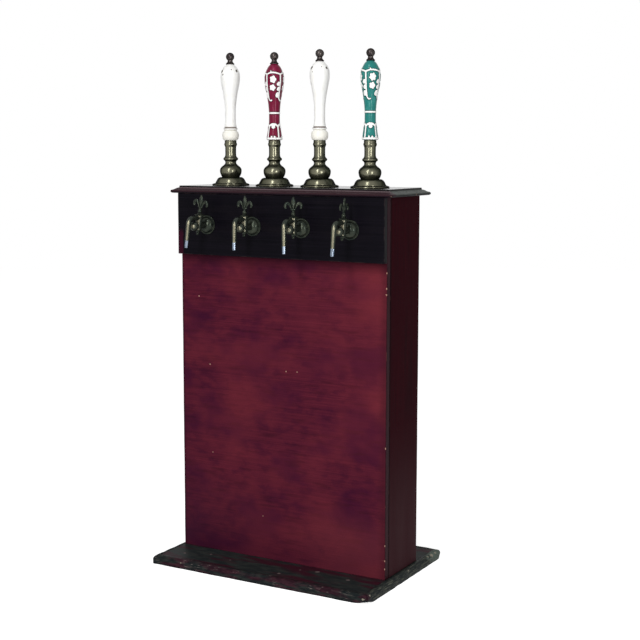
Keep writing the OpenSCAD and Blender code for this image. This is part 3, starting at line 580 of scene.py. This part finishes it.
fascia_colour = fascia_stain.coats(
    tone(9, 8, 13),
    (tone(19, 16, 23), fascia_grain.step(0.35, 0.8)),
    (tone(22, 18, 22), fascia_cloud.step(0.5, 0.75) * 0.5),
    (tone(50, 14, 30), left_end * lower_end * 0.9),
    # Worn edges with a painted highlight
    (tone(60, 48, 48), fascia_edge_wear_and_highlight.step(0.4, 1.0) * 0.5),
)
fascia_sheets = board(fascia_low, fascia_high, FASCIA_ROUND, fascia_nicks, 5)
fascia_finish = wood(fascia_stain, fascia_colour, fascia_grain * 0.2 + 0.25, fascia_grain, 0.0002)
piece("fascia", fascia_sheets, fascia_finish, "root", "black_wood", "fascia_board")

# Top board
# A thick board whose edge is moulded with a plane: a round nose, a long wavy slope, and an upright
# fillet on top. Four slots let the levers through under the bells. Its front slope has lost its
# black, with a painted highlight along its crest, and the right slope carries a painted grey-green
# reflection.

PULLS = (1, 2, 3, 4)
NOSE_R = 0.0045
FILLET_H = 0.005
FILLET_IN = 0.018
FILLET_LEDGE = 0.0006
FILLET_ROUND = 0.0012
SLOPE_WAVE = 0.08
SLOT_W = 0.010
SLOT_SPARE = 0.002
LEVER_HALF_T = 0.0065
FLAT_STEPS = 60


def joint(name):
    """The joint of that name."""
    return next(one for one in frame["joints"] if one["name"] == name)


def flat_lines(low, high, stops):
    """Evenly spaced places from low to high with the stops among them."""
    even = np.linspace(low, high, FLAT_STEPS)
    return np.unique(np.round(np.concatenate([even, stops]), 6))


top_low, top_high = map(np.array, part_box("top_board"))
top_t = top_high[2] - top_low[2]
overhang = fascia_low[0] - top_low[0]
nose_in = arc((-NOSE_R, NOSE_R), NOSE_R, -90, 60, 12) * (-1, 1)
slope_share = np.linspace(0, 1, 17)[1:]
slope_run, slope_rise = (FILLET_IN, top_t - FILLET_H) - nose_in[-1]
waved = slope_share - SLOPE_WAVE * np.sin(2 * np.pi * slope_share)
slope = nose_in[-1] + np.stack([slope_run * slope_share, slope_rise * waved], axis=1)
fillet_top = (-FILLET_IN - FILLET_LEDGE - FILLET_ROUND, top_t - FILLET_ROUND)
fillet = arc(fillet_top, FILLET_ROUND, 0, 90, 6) * (-1, 1)
moulding = np.concatenate([[[overhang, 0]], nose_in, slope, fillet, [[overhang, top_t]]])

pull_joint = joint("pull_1_swing")
lever_lean = radians(pull_joint["range_deg"][1] / 2)
lever_rise = pull_joint["pos_m"][2] - top_low[2]
slot_half = lever_rise * np.tan(lever_lean) + LEVER_HALF_T / np.cos(lever_lean) + SLOT_SPARE
pull_x = {k: sum(corner[0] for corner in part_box(f"bell_{k}")) / 2 for k in PULLS}
slots = [(x - SLOT_W / 2, x + SLOT_W / 2) for x in pull_x.values()]

flat_low, flat_high = top_low + overhang, top_high - overhang
flat_x = flat_lines(flat_low[0], flat_high[0], np.ravel(slots))
flat_y = flat_lines(flat_low[1], flat_high[1], [-slot_half, slot_half])
cell_x, cell_y = (flat_x[1:] + flat_x[:-1]) / 2, (flat_y[1:] + flat_y[:-1]) / 2
open_x = np.any([(cell_x > low) & (cell_x < high) for low, high in slots], axis=0)
board_cells = ~(open_x[:, None] & (np.abs(cell_y) < slot_half)[None, :])
top_sheets = []
levels = (top_low[2], top_high[2])
for level in levels:
    top_sheets.append(sheet(net(flat_x[:, None], flat_y, level), board_cells))
for low, high in slots:
    inside = flat_y[np.abs(flat_y) <= slot_half + 1e-6]
    ring_x = np.concatenate([np.full(len(inside), low), np.full(len(inside), high), [low]])
    ring_y = np.concatenate([inside, inside[::-1], [inside[0]]])
    top_sheets.append(sheet(net(ring_x[:, None], ring_y[:, None], levels)))

top_nicks = [
    ((top_high[0], top_low[1], top_low[2] + 0.002), 0.004, 0.002),
    ((top_low[0] + 0.002, top_low[1] + 0.002, top_low[2] + 0.003), 0.005, 0.002),
    ((0.05, top_low[1], top_low[2] + 0.004), 0.003, 0.0008),
    ((-0.13, top_low[1], top_low[2] + 0.004), 0.003, 0.0008),
    ((top_high[0], 0.03, top_low[2] + 0.004), 0.004, 0.001),
]
# The moulding on the front, right, back and left: the axis of its length, and its signs along that
# and outwards
half_size = (top_high[0], -top_low[1])
for along, hand, side in ((0, 1, -1), (1, 1, 1), (0, -1, 1), (1, -1, -1)):
    outward = 1 - along
    lines = (flat_x, flat_y)[along] - flat_low[along]
    share = lines[:, None] / lines[-1]
    moulded = np.empty((len(lines), len(moulding), 3))
    moulded[..., along] = hand * (2 * share - 1) * (half_size[along] - moulding[:, 0])
    moulded[..., outward] = side * (half_size[outward] - moulding[:, 0])
    moulded[..., 2] = top_low[2] + moulding[:, 1]
    facing = np.zeros(moulded.shape)
    facing[..., outward] = side
    moulded, bare = nicked(moulded, facing, top_nicks, 21)
    top_sheets.append(sheet(moulded, bare=bare))

TOP_GLOSS = 0.02
top_stain = Finish("top_stain")
top_grain = top_stain.noise((0.3, 0.006, 0.002), 4)
top_cloud = top_stain.noise((0.1, 0.03, 0.02), 4, 3.0)
up = top_stain.axis("Z") - top_low[2] + (top_cloud - 0.5) * 0.001
on_front = top_stain.axis("Y").step(flat_low[1] + 0.0035, flat_low[1] + 0.0025)
on_right = top_stain.axis("X").step(flat_high[0] - 0.0035, flat_high[0] - 0.0025) * (1 - on_front)
under_fillet = up.step(top_t - FILLET_H + 0.001, top_t - FILLET_H)
sloped = up.step(0.0035, 0.0055) * under_fillet
# Painted highlight along the crest of the slope
crest_highlight = up.step(0.0125, 0.0138) * under_fillet
varnished = top_stain.axis("Z").step(top_high[2] - 0.0014, top_high[2] - 0.0007)
top_colour = top_stain.coats(
    tone(10, 8, 10),
    (tone(22, 18, 20), top_grain.step(0.35, 0.75)),
    (tone(24, 14, 22), on_front * up.step(0.006, 0.003)),
    (tone(54, 34, 40), on_front * sloped * 0.9),
    # Painted highlight along the crest of the front slope
    (tone(118, 102, 106), on_front * crest_highlight * (0.5 + top_cloud * 0.5)),
    # Painted reflection: grey-green over the right slope
    (tone(86, 92, 88), on_right * sloped * (0.35 + top_cloud * 0.7)),
    (tone(6, 6, 9), on_right * up.step(0.006, 0.004)),
    (tone(112, 92, 84), top_stain.mark("bare").step(0.4, 0.8) * 0.8),
)
top_polish = {
    "Specular IOR Level": TOP_GLOSS, "Coat Weight": varnished * 0.7 + 0.05, "Coat Roughness": 0.12,
}
top_finish = top_stain.surface(top_colour, top_grain * 0.15 + 0.3, top_polish, top_grain, 0.0002)
piece("top_moulding", top_sheets, top_finish, "root", "black_wood", "top_board")

# Shelf and battens
# Unpainted pine inside the cabinet. The shelf carries the pumps, and the battens are glued up the
# corners to stiffen them.

pine = Finish("pine")
pine_grain = pine.noise((0.3, 0.004, 0.03), 4)
pine_cloud = pine.noise((0.06, 0.05, 0.06), 3, 2.0)
pine_colour = pine.coats(
    tone(150, 110, 70),
    (tone(192, 154, 106), pine_grain.step(0.3, 0.7)),
    (tone(120, 88, 60), pine_cloud.step(0.55, 0.75) * 0.5),
)
pine_finish = pine.surface(pine_colour, pine_grain * 0.2 + 0.55, {}, pine_grain, 0.0003)
dress(pine_finish, "pump_shelf", "case_battens")

# Pumps, levers and pipes
# Turned gunmetal cylinders with bolted caps, steel levers and pins kept oiled, and copper pipes to
# the backs of the taps. They are clean but dull, because nobody polishes the inside of the case.

# The side that the painted highlight and the polish of a rubbed front face: the front, a little to
# the right
HIGHLIGHT_AND_POLISH_SIDE = (0.34, -0.94, 0.0)


def metal(name, deep, worn, rough, edge, hollow_dirt_and_shade=None, polish_and_highlight=None, bright=1.0):
    """Old metal. Clouds of tarnish lie between a deep and a worn tone. The hollows can take a tone of
    dried polish with painted shade, given with how deep a hollow has it, and the front can take a
    tone of polish with a painted highlight, given with how squarely a place has to face the front to
    have it. Bright is the share that is bare metal."""
    old = Finish(name)
    tarnish = old.noise((0.012, 0.012, 0.012), 5)
    speck = old.noise((0.0025, 0.0025, 0.0025), 3, 2.0)
    colour = old.mix(deep, worn, (tarnish * 0.8 + speck * 0.2).step(0.3, 0.7))
    roughness = tarnish * 0.12 + rough - 0.06
    # Painted shade, mixed with dried polish, darkens the hollows that ambient occlusion finds
    if hollow_dirt_and_shade:
        dirt_and_shade_tone, reach = hollow_dirt_and_shade
        settings = {"samples": 6, "only_local": True}
        room = old.node("AmbientOcclusion", settings, {"Distance": reach}, "AO")
        in_hollow = (room + (speck - 0.5) * 0.2).step(0.7, 0.25)
        colour = old.mix(colour, dirt_and_shade_tone, in_hollow * 0.7)
        roughness = roughness + in_hollow * 0.2
    # A painted highlight, with the polish of a rubbed front, lightens places that face the front
    if polish_and_highlight:
        polish_and_highlight_tone, squarely = polish_and_highlight
        front = old.facing(HIGHLIGHT_AND_POLISH_SIDE).step(squarely, 1.0)
        colour = old.mix(colour, polish_and_highlight_tone, front * (tarnish * 0.4 + 0.6))
        roughness = roughness - front * 0.07
    return old.surface(colour, roughness, {"Metallic": bright, "Specular Tint": edge})


gunmetal = metal("gunmetal", tone(140, 118, 78), tone(176, 152, 108), 0.35, tone(120, 110, 90))
oiled_steel = metal(
    "oiled_steel", tone(150, 152, 156), tone(184, 186, 190), 0.3, tone(200, 200, 200),
)
copper_tube = metal(
    "copper_tube", tone(150, 92, 64), tone(190, 124, 92), 0.3, tone(160, 120, 100),
)
dress(gunmetal, "cylinder_caps")
dress(oiled_steel, "pivot_pins")
dress(copper_tube, "outlet_pipes")
for k in PULLS:
    dress(oiled_steel, f"lever_{k}")
    dress(gunmetal, f"piston_{k}", f"crosshead_{k}", f"cylinder_{k}")

# Brass fittings
# Cast and turned brass, greenish grey with age, nearly black in its grooves from dried polish and
# painted shade, and lighter at the front from rubbing and a painted highlight: the bells and
# columns of the pulls, the taps with their rosettes and nuts, the tails for the beer lines, and the
# knob and hinges of the door.

# Painted shade with dried polish darkens the hollows of all three, and a painted highlight with
# polish lightens the fronts of the first two
old_brass = metal(
    "old_brass", tone(42, 45, 38), tone(70, 71, 60), 0.28, tone(6, 8, 6),
    hollow_dirt_and_shade=(tone(14, 14, 11), 0.008), polish_and_highlight=(tone(118, 116, 98), 0.5), bright=0.9,
)
tap_bronze = metal(
    "tap_bronze", tone(46, 52, 48), tone(64, 68, 60), 0.22, tone(8, 11, 10),
    hollow_dirt_and_shade=(tone(30, 34, 31), 0.004), polish_and_highlight=(tone(152, 147, 124), 0.84), bright=0.5,
)
key_bronze = metal(
    "key_bronze", tone(34, 40, 37), tone(60, 64, 55), 0.22, tone(8, 11, 10),
    hollow_dirt_and_shade=(tone(20, 24, 22), 0.004), bright=0.6,
)
for k in PULLS:
    dress(old_brass, f"bell_{k}", f"column_{k}")
    dress(tap_bronze, f"tap_body_{k}")
dress(key_bronze, "rosettes")
dress(old_brass, "tail_nuts", "inlet_tails", "door_knob", "case_hinge_leaves", "door_hinge_leaves")

# Plain grips
# Two white porcelain grips, turned and glazed. A worn gilt line runs round the foot, with a
# greyish line of painted shade in the groove below it, and the glaze has a few dark flecks at the
# shoulder.

PHOTO_BEARING = 29.65
FLECK = tone(84, 76, 66)
# Degrees round from the photographed side, depth below the top, distance out as a share of the
# largest radius, and radius
FLECKS = [
    (-64, 0.018, 0.89, 0.0055), (-46, 0.028, 0.995, 0.0032),
    (50, 0.018, 0.89, 0.0042), (12, 0.015, 0.85, 0.0018),
]
# Depth as a share of the height, width and tone: the gilt line, and a line of painted shade in the
# lower groove
FOOT_GILT_AND_GROOVE_SHADE = [(0.833, 0.0034, tone(84, 58, 40)), (0.867, 0.0018, tone(204, 200, 186))]
PORCELAIN = {"Specular IOR Level": 0.1, "Coat Weight": 0.14, "Coat Roughness": 0.08}

plain_low, plain_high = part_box("grip_1")
plain_h = plain_high[2] - plain_low[2]
plain_r = (plain_high[0] - plain_low[0]) / 2
white_glaze = Finish("white_glaze")
crackle = white_glaze.noise((0.01, 0.01, 0.02), 4)
from_top = plain_high[2] - white_glaze.axis("Z")
white_coats = [
    (tone(248, 247, 242), crackle.step(0.4, 0.75)),
    (tone(246, 243, 232), from_top.step(plain_h * 0.86, plain_h * 0.90) * 0.8),
]
for share, width, colour in FOOT_GILT_AND_GROOVE_SHADE:
    off_line = abs(from_top - plain_h * share) + (crackle - 0.5) * 0.0008
    white_coats.append((colour, off_line.step(width, width * 0.3) * 0.85))
for k in (1, 3):
    for turn, deep, wide, radius in FLECKS:
        out, bearing = plain_r * wide, radians(PHOTO_BEARING + turn)
        place = (pull_x[k] + out * sin(bearing), -out * cos(bearing), plain_high[2] - deep)
        white_coats.append((FLECK, white_glaze.spot(place, radius, crackle)))
white_colour = white_glaze.coats(tone(253, 253, 251), *white_coats)
dress(white_glaze.surface(white_colour, crackle * 0.1 + 0.25, PORCELAIN), "grip_1", "grip_3")

# Coloured grips
# Two porcelain grips with a flared skirt, glazed crimson and green. White ornament stands a
# millimetre proud: an arch and leafy borders round each of four panels, with two flowers between.


def smooth_curve(points, steps=6):
    """A curve through each point of a list, cubic between them, with slopes from the neighbours."""
    points = np.array(points, float)
    padded = np.concatenate([points[:1], points, points[-1:]])
    share = (np.arange(steps) / steps)[None, :, None]
    before, here, there, after = (padded[i:len(padded) - 3 + i, None] for i in range(4))
    bent = 2 * before - 5 * here + 4 * there - after
    twist = 3 * (here - there) + after - before
    parts = here + share * ((there - before) + share * (bent + share * twist)) / 2
    return np.concatenate([parts.reshape(-1, 2), points[-1:]])


def even_steps(outline, count):
    """The same outline with evenly spaced points."""
    length = np.append(0, np.cumsum(np.linalg.norm(np.diff(outline, axis=0), axis=1)))
    places = np.linspace(0, length[-1], count)
    return np.stack([np.interp(places, length, outline[:, i]) for i in range(2)], axis=1)


# Radius and depth below the top, as shares of the largest radius and of the height
SKIRTED = [
    (0.38, 0), (0.615, 0.032), (0.77, 0.067), (0.95, 0.12), (1, 0.185), (0.973, 0.254),
    (0.896, 0.327), (0.796, 0.395), (0.72, 0.457), (0.645, 0.522), (0.6, 0.585), (0.572, 0.639),
    (0.57, 0.707), (0.58, 0.78), (0.67, 0.844), (0.75, 0.912), (0.806, 0.973),
]
# The rolled rim of the skirt, as the same shares
RIM_IN = 0.7
RIM_DOWN = 0.983
RIM_ROUND = 0.123
FOOT_IN = 0.65
grip_low, grip_high = map(np.array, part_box("grip_2"))
grip_r = (grip_high[0] - grip_low[0]) / 2 * 1000
grip_h = (grip_high[2] - grip_low[2]) * 1000
skirted_side = smooth_curve(SKIRTED) * (grip_r, grip_h)
rim_turn = np.radians(np.linspace(60, -85, 9))
rim = np.stack([
    grip_r * (RIM_IN + RIM_ROUND * np.cos(rim_turn)),
    grip_h * RIM_DOWN - grip_r * RIM_ROUND * np.sin(rim_turn),
], axis=1)
grip_foot = [[grip_r * FOOT_IN, grip_h], [0, grip_h]]
grip_outline = even_steps(np.concatenate([[[0, 0]], skirted_side, rim, grip_foot]), 300)

# Paths of the painted strokes as degrees round from a border, and millimetres below the top
ARCH = [(0, 28), (10, 26), (20, 24.6), (29, 23.6), (45, 23.4), (60, 24.2), (75, 25.8), (90, 28)]
ARCH_PEAK = [(30, 22.5), (27, 19.5)]
BORDER = [(0, 28), (1, 50), (-1, 70), (0, 92)]
BORDER_FOOT = [(0, 91), (5, 95.5), (12, 98), (20, 98.6), (27, 97.6)]
SKIRT_ARCH = [(0, 168), (11, 164.5), (27, 162), (45, 161.5), (63, 162), (79, 164.5), (90, 168)]
SKIRT_BORDER = [(0, 168), (0, 199)]
# Strokes with half their widths, and bands right round with their depths and half widths
PANEL_STROKES = [(ARCH, 2.0), (ARCH_PEAK, 1.3), (BORDER, 2.0), (BORDER_FOOT, 1.7)]
SKIRT_STROKES = [(SKIRT_ARCH, 2.4), (SKIRT_BORDER, 2.0)]
BANDS = [(131.7, 2.2), (200.6, 2.6)]
# Leaves and buds: the middle, as on the paths, half the width and height, lobes and their bite
PANEL_LEAVES = [
    ((-10, 54), (5.6, 5.8), 3, 0.06), ((-10, 67.5), (4.8, 5.4), 3, 0.06),
    ((-14, 83.5), (5.6, 7.4), 3, 0.06),
]
SKIRT_BUDS = [
    ((45, 163.5), (7, 4)), ((45, 169), (5, 4.6)), ((33, 196), (2.4, 2.8)), ((57, 196), (2.4, 2.8)),
]


def beyond_stroke(turn, depth, radius, path, half):
    """Millimetres from the edge of a stroke: the distance to the nearest part of its path, measured
    on the surface, less half its width."""
    gap = np.full(turn.shape, np.inf)
    for (turn_a, depth_a), (turn_b, depth_b) in zip(path, path[1:]):
        x, y = np.radians(turn - turn_a) * radius, depth - depth_a
        run_x, run_y = np.radians(turn_b - turn_a) * radius, depth_b - depth_a
        share = np.clip((x * run_x + y * run_y) / (run_x**2 + run_y**2), 0, 1)
        gap = np.minimum(gap, np.hypot(x - share * run_x, y - share * run_y))
    return gap - half


def beyond_flower(turn, depth, radius, middle, size, petals=5, bite=0.0, tilt=0.0):
    """Millimetres from the edge of a flower, whose outline is an oval that swells at each petal by
    the bite. Without a bite it is a plain oval."""
    x = np.radians(turn - middle[0]) * radius / size[0]
    y = (depth - middle[1]) / size[1]
    swell = 1 + bite * np.cos(petals * (np.arctan2(x, -y) - tilt))
    return (np.hypot(x, y) / swell - 1) * min(size)


def ornament(turn, depth, radius, border, skirt_border, flowers):
    """Millimetres from the edge of the nearest ornament, less than nothing on it. The panels and
    the scallops of the skirt repeat each quarter turn from their borders."""
    gap = np.full(turn.shape, np.inf)
    for band, half in BANDS:
        gap = np.minimum(gap, np.abs(depth - band) - half)
    for first, strokes, blooms in (
        (border, PANEL_STROKES, [*PANEL_LEAVES, *flowers]),
        (skirt_border, SKIRT_STROKES, SKIRT_BUDS),
    ):
        for lap in (-90, 0, 90):
            here = (turn - first) % 90 - lap
            for stroke in strokes:
                gap = np.minimum(gap, beyond_stroke(here, depth, radius, *stroke))
            for bloom in blooms:
                gap = np.minimum(gap, beyond_flower(here, depth, radius, *bloom))
    return gap


RELIEF_EDGE = 0.8
POOL_W = 3.2


def raised_grip(k, finish, slot, border, skirt_border, flowers):
    """A turned grip whose surface is lifted by the ornament: a soft step a millimetre high, a
    little higher along its middle and fading out near the pole."""
    turn, depth = np.broadcast_arrays(np.linspace(0, 360, 301), grip_outline[:, 1:])
    radius = grip_outline[:, :1]
    gap = ornament(turn, depth, np.maximum(radius, 6), border, skirt_border, flowers)
    relief = np.clip(0.5 - gap / RELIEF_EDGE, 0, 1)
    relief = relief * relief * (3 - 2 * relief)
    pool = np.clip(1 - gap / POOL_W, 0, 1)
    crown = relief * (0.8 + 0.3 * np.clip(-gap / 2, 0, 1)) * np.clip(radius / 8, 0, 1)
    bearing = np.radians(PHOTO_BEARING + turn)
    out = (radius + crown) / 1000
    height = grip_high[2] - depth / 1000
    points = net(pull_x[k] + out * np.sin(bearing), -out * np.cos(bearing), height)
    sheets = [sheet(points, relief=relief, pool=pool)]
    piece(f"porcelain_{k}", sheets, finish, f"pull_{k}", slot, f"grip_{k}")


def coloured_glaze(name, deep, middle, pale):
    """Coloured glaze over porcelain: thin and pale in cloudy patches, deep where it pools against the
    ornament, and wiped off the ornament itself."""
    glazed = Finish(name)
    cloud = glazed.noise((0.012, 0.012, 0.02), 4)
    pooled = glazed.mark("pool") + (cloud - 0.5) * 0.6
    colour = glazed.coats(
        middle,
        (pale, cloud.step(0.52, 0.75) * 0.5),
        (deep, pooled.step(0.1, 0.85) * 0.9),
        (tone(250, 250, 248), glazed.mark("relief").step(0.3, 0.7)),
    )
    return glazed.surface(colour, cloud * 0.1 + 0.25, PORCELAIN)


crimson_glaze = coloured_glaze("crimson_glaze", tone(44, 0, 18), tone(112, 10, 48), tone(156, 44, 84))
green_glaze = coloured_glaze("green_glaze", tone(4, 48, 46), tone(36, 122, 116), tone(84, 166, 158))
# The two flowers of a panel: middle, half width and height, petals, bite and tilt
CRIMSON_FLOWERS = [((43, 42), (8.2, 9.4), 5, 0.13, 0.3), ((39, 64), (7.8, 7.8), 5, 0.13, 0.3)]
GREEN_FLOWERS = [((42.5, 42), (8.4, 9.6), 6, 0.14, 0.3), ((40.5, 64), (7.6, 8.2), 5, 0.12, 0.3)]
raised_grip(2, crimson_glaze, "crimson_glaze", -49, -53.5, CRIMSON_FLOWERS)
raised_grip(4, green_glaze, "green_glaze", -31, -44, GREEN_FLOWERS)

# Finials
# Small turned brass balls that screw down through the grips and hold them on their columns. They
# were bronzed, and are nearly black, with dried polish and painted shade in their hollows.

bronzed = metal(
    "bronzed", tone(44, 38, 40), tone(80, 75, 72), 0.26, tone(4, 4, 4),
    hollow_dirt_and_shade=(tone(12, 10, 10), 0.005),
)
for k in PULLS:
    dress(bronzed, f"finial_{k}")

# Nozzles
# Silver-plated tubes soldered on the ends of the spouts, dulled by handling, with dried polish and
# painted shade in their hollows, and brighter at the front from rubbing and a painted highlight.

plated = metal(
    "plated", tone(74, 88, 104), tone(106, 120, 138), 0.2, tone(14, 22, 30),
    hollow_dirt_and_shade=(tone(50, 60, 74), 0.006), polish_and_highlight=(tone(146, 156, 170), 0.6),
)
dress(plated, "nozzles")

# Keys
# Cast brass keys. A plug runs down through the barrel of each tap and is held by a washer and a
# nut below. Above it are a collar, a bead and a fleur-de-lis with two curling petals.

# Millimetres, with the origin in the middle of the barrel
PLUG_R = 6.5
BARREL_LOW = -11.4
HEAD_Z = 28.2
JOINT_Z = 20
FLEUR_H = 42
FLEUR_HALF_T = 3.0
# Degrees that each key stands open at rest
KEY_REST_TURNS = {1: 0, 2: 0, 3: 30, 4: 90}


def turned(outline, count=48, corners=0):
    """A turned or milled form about the Z axis: each radius of its outline is carried round. With
    corners it is a nut, whose radius grows from the middle of each flat to a blunted corner."""
    turn = np.linspace(0, 2 * np.pi, count + 1)
    outline = np.array(outline, float)
    radius = outline[:, :1]
    if corners:
        part = np.pi / corners
        to_flat = 1 / np.cos((turn + part) % (2 * part) - part)
        radius = radius * np.minimum(np.cos(part) ** -1, to_flat) * 0.98
    return net(radius * np.cos(turn), radius * np.sin(turn), outline[:, 1:])


def petal(path, widths, thick):
    """A leaf with a keel down its middle, carried along a path in the XZ plane. Its section is an
    oval as wide as widths says, drawn up to a blunt ridge on both faces."""
    line = smooth_curve(path, 8)
    width = smooth_curve([(i, w) for i, w in enumerate(widths)], 8)[:, 1]
    slope = np.gradient(line, axis=0)
    slope /= np.linalg.norm(slope, axis=1, keepdims=True)
    across = np.stack([slope[:, 1], -slope[:, 0]], axis=1)
    turn = np.linspace(0, 2 * np.pi, 25)
    ridge = np.sin(turn) * (0.62 + 0.38 * np.abs(np.sin(turn)) ** 3)
    half = np.minimum(thick, width * 1.1)
    side_x, side_z = (across[:, [i]] * width[:, None] * np.cos(turn) for i in range(2))
    return net(line[:, :1] + side_x, half[:, None] * ridge, line[:, 1:] + side_z)


# Radius and height above the plug, as shares of the plug's radius
COLLAR = [
    (1.92, 0), (2.02, 0.1), (2.06, 0.22), (2.02, 0.34), (1.54, 0.52), (1, 0.77), (0.71, 1.02),
]
NECK = [(0.55, 2.66), (0.55, 3.1), (0, 3.1)]
BEAD_R = 0.92
BEAD_UP = 1.69
FLEUR_UP = 2.46
# The middles of the leaf and of the right petal, and their half widths, as shares of the height
MIDDLE_LEAF = [(0, -0.02), (0, 0.16), (0, 0.32), (0, 0.48), (0, 0.62), (0, 0.78), (0, 0.9), (0, 0.95)]
MIDDLE_WIDTHS = [0.0, 0.055, 0.09, 0.145, 0.15, 0.11, 0.05, 0.0]
SIDE_PETAL = [
    (0.055, 0.0), (0.09, 0.13), (0.145, 0.27), (0.215, 0.41), (0.31, 0.515), (0.41, 0.51),
    (0.48, 0.42), (0.49, 0.31), (0.455, 0.22), (0.43, 0.185),
]
SIDE_WIDTHS = [0.0, 0.04, 0.055, 0.08, 0.098, 0.1, 0.098, 0.09, 0.062, 0.0]
# The band round the foot of the petals: share of its half width, and height
BAND = [(0, 0.115), (0.9, 0.118), (1, 0.135), (1, 0.175), (0.9, 0.195), (0, 0.198)]
BAND_HALF_W = 0.18
BAND_PROUD = 0.9

plug = turned([(0, BARREL_LOW), (PLUG_R, BARREL_LOW), (PLUG_R, HEAD_Z), (0, HEAD_Z)])
bead = arc((0, BEAD_UP), BEAD_R, -45, 50, 12)
head_side = np.concatenate([[(0, 0)], smooth_curve(COLLAR), bead, NECK]) * PLUG_R
head = turned(head_side + np.array([0, HEAD_Z]))
washer_low = BARREL_LOW - PLUG_R * 0.31
nut_low = washer_low - PLUG_R * 0.86
washer = turned([
    (0, BARREL_LOW), (PLUG_R * 1.3, BARREL_LOW), (PLUG_R * 1.34, BARREL_LOW - 0.3),
    (PLUG_R * 1.34, washer_low + 0.3), (PLUG_R * 1.3, washer_low), (0, washer_low),
])
nut = turned([
    (0, washer_low), (PLUG_R * 0.70, washer_low), (PLUG_R * 0.72, washer_low - 0.5),
    (PLUG_R * 0.72, nut_low + 0.7), (PLUG_R * 0.66, nut_low), (0, nut_low),
], 72, 6)
end_ball = arc((0, nut_low - PLUG_R * 0.4), PLUG_R * 0.68, -90, 60, 20)
end_ball = turned(np.concatenate([end_ball, [(0, nut_low)]]))
fleur = [petal(np.array(MIDDLE_LEAF) * FLEUR_H, np.array(MIDDLE_WIDTHS) * FLEUR_H, FLEUR_HALF_T)]
for hand in (-1, 1):
    curl = np.array(SIDE_PETAL) * (hand * FLEUR_H, FLEUR_H)
    fleur.append(petal(curl, np.array(SIDE_WIDTHS) * FLEUR_H, FLEUR_HALF_T * 0.85))
band_side = smooth_curve(BAND, 4)
band_turn = np.linspace(0, 2 * np.pi, 33)
fleur.append(net(
    band_side[:, :1] * FLEUR_H * BAND_HALF_W * np.cos(band_turn),
    band_side[:, :1] * (FLEUR_HALF_T + BAND_PROUD) * np.sin(band_turn),
    band_side[:, 1:] * FLEUR_H,
))
fleur = [one + np.array([0, 0, HEAD_Z + PLUG_R * FLEUR_UP]) for one in fleur]

for k in PULLS:
    turn_joint = joint(f"key_{k}_turn")
    up = Vector(turn_joint["axis"])
    lean = Matrix.Rotation(np.arctan2(up[0], up[2]), 4, "Y")
    place = Matrix.Translation(Vector(turn_joint["pos_m"]) - up * (JOINT_Z / 1000)) @ lean
    place = np.array(place @ Matrix.Rotation(radians(KEY_REST_TURNS[k]), 4, "Z"))
    forms = (plug, head, washer, nut, end_ball, *fleur)
    sheets = [sheet((form / 1000) @ place[:3, :3].T + place[:3, 3]) for form in forms]
    piece(f"fleur_key_{k}", sheets, key_bronze, f"key_{k}", "old_brass", f"tap_key_{k}")

# Studio
# A white floor under an even white sky, and two soft lamps a little to each side of the camera,
# whose reflections stand on the balls and grips as they do in the photograph.

FLOOR_R = 9
FLOOR_CORNERS = 96
FLOOR_GLOW = 0.8
SOFT_SKY = 0.24
LAMP_AIM = Vector((0, 0, 1.0))
LAMP_AWAY = 3.6
PHOTO_PLACE = Vector((1.800, -3.0408, 1.1564))
PHOTO_DIP = 6.68
PHOTO_ROLL = 0.08
PHOTO_LENS = 72.98
PHOTO_SHIFT = -0.0346

floor_turn = np.linspace(0, 2 * np.pi, FLOOR_CORNERS, endpoint=False)
floor_points = net(FLOOR_R * np.cos(floor_turn), FLOOR_R * np.sin(floor_turn), 0)
floor_mesh = bpy.data.meshes.new("floor")
floor_mesh.from_pydata(floor_points, [], [list(range(FLOOR_CORNERS))])
floor = stand("floor", floor_mesh)


def seen_directly(finish):
    """1 for light that reaches the camera straight, off metal or through glass, and 0 for the
    rest."""
    kinds = ("Camera", "Glossy", "Transmission")
    rays = [finish.node("LightPath", {}, {}, f"Is {kind} Ray") for kind in kinds]
    return rays[0].most(rays[1]).most(rays[2])


ground = Finish("floor_paint")
matt = ground.node("BsdfDiffuse", {}, {"Color": (0.8, 0.8, 0.8, 1)})
glow = ground.node("Emission", {}, {"Color": (1, 1, 1, 1), "Strength": FLOOR_GLOW})
both = ground.node("AddShader", {}, {0: matt, 1: glow})
shown = ground.node("MixShader", {}, {0: seen_directly(ground), 1: matt, 2: both})
ground.node("OutputMaterial", {}, {"Surface": shown})
floor_mesh.materials.append(ground.holder)

sky = Finish("studio", "worlds")
soft = sky.node("Background", {}, {"Color": (1, 1, 1, 1), "Strength": SOFT_SKY})
white = sky.node("Background", {}, {"Color": (1, 1, 1, 1), "Strength": 1.0})
shown = sky.node("MixShader", {}, {0: seen_directly(sky), 1: soft, 2: white})
sky.node("OutputWorld", {}, {"Surface": shown})
bpy.context.scene.world = sky.holder


def lamp(name, bearing, rise, wide, tall, power):
    """A soft upright lamp about as far off as the camera, bearing degrees round from the front,
    which looks at the pulls from rise degrees above them."""
    light = bpy.data.lights.new(name, "AREA")
    light.shape = "RECTANGLE"
    light.size = wide
    light.size_y = tall
    light.energy = power
    turn = Euler((radians(90 - rise), 0, radians(bearing))).to_matrix().to_4x4()
    away = Matrix.Translation((0, 0, LAMP_AWAY))
    stand(name, light).matrix_world = Matrix.Translation(LAMP_AIM) @ turn @ away


lamp("left_lamp", 7, 27, 0.5, 4.6, 96)
lamp("right_lamp", 51, 1, 0.5, 1.5, 38)

view = bpy.data.cameras.new("photo_camera")
view.lens = PHOTO_LENS
view.shift_y = PHOTO_SHIFT
camera = stand("photo_camera", view)
aimed = Euler((radians(90 - PHOTO_DIP), 0, radians(PHOTO_BEARING))).to_matrix().to_4x4()
rolled = Matrix.Rotation(radians(PHOTO_ROLL), 4, "Z")
camera.matrix_world = Matrix.Translation(PHOTO_PLACE) @ aimed @ rolled
bpy.context.scene.camera = camera
bpy.context.scene.view_settings.view_transform = "Standard"
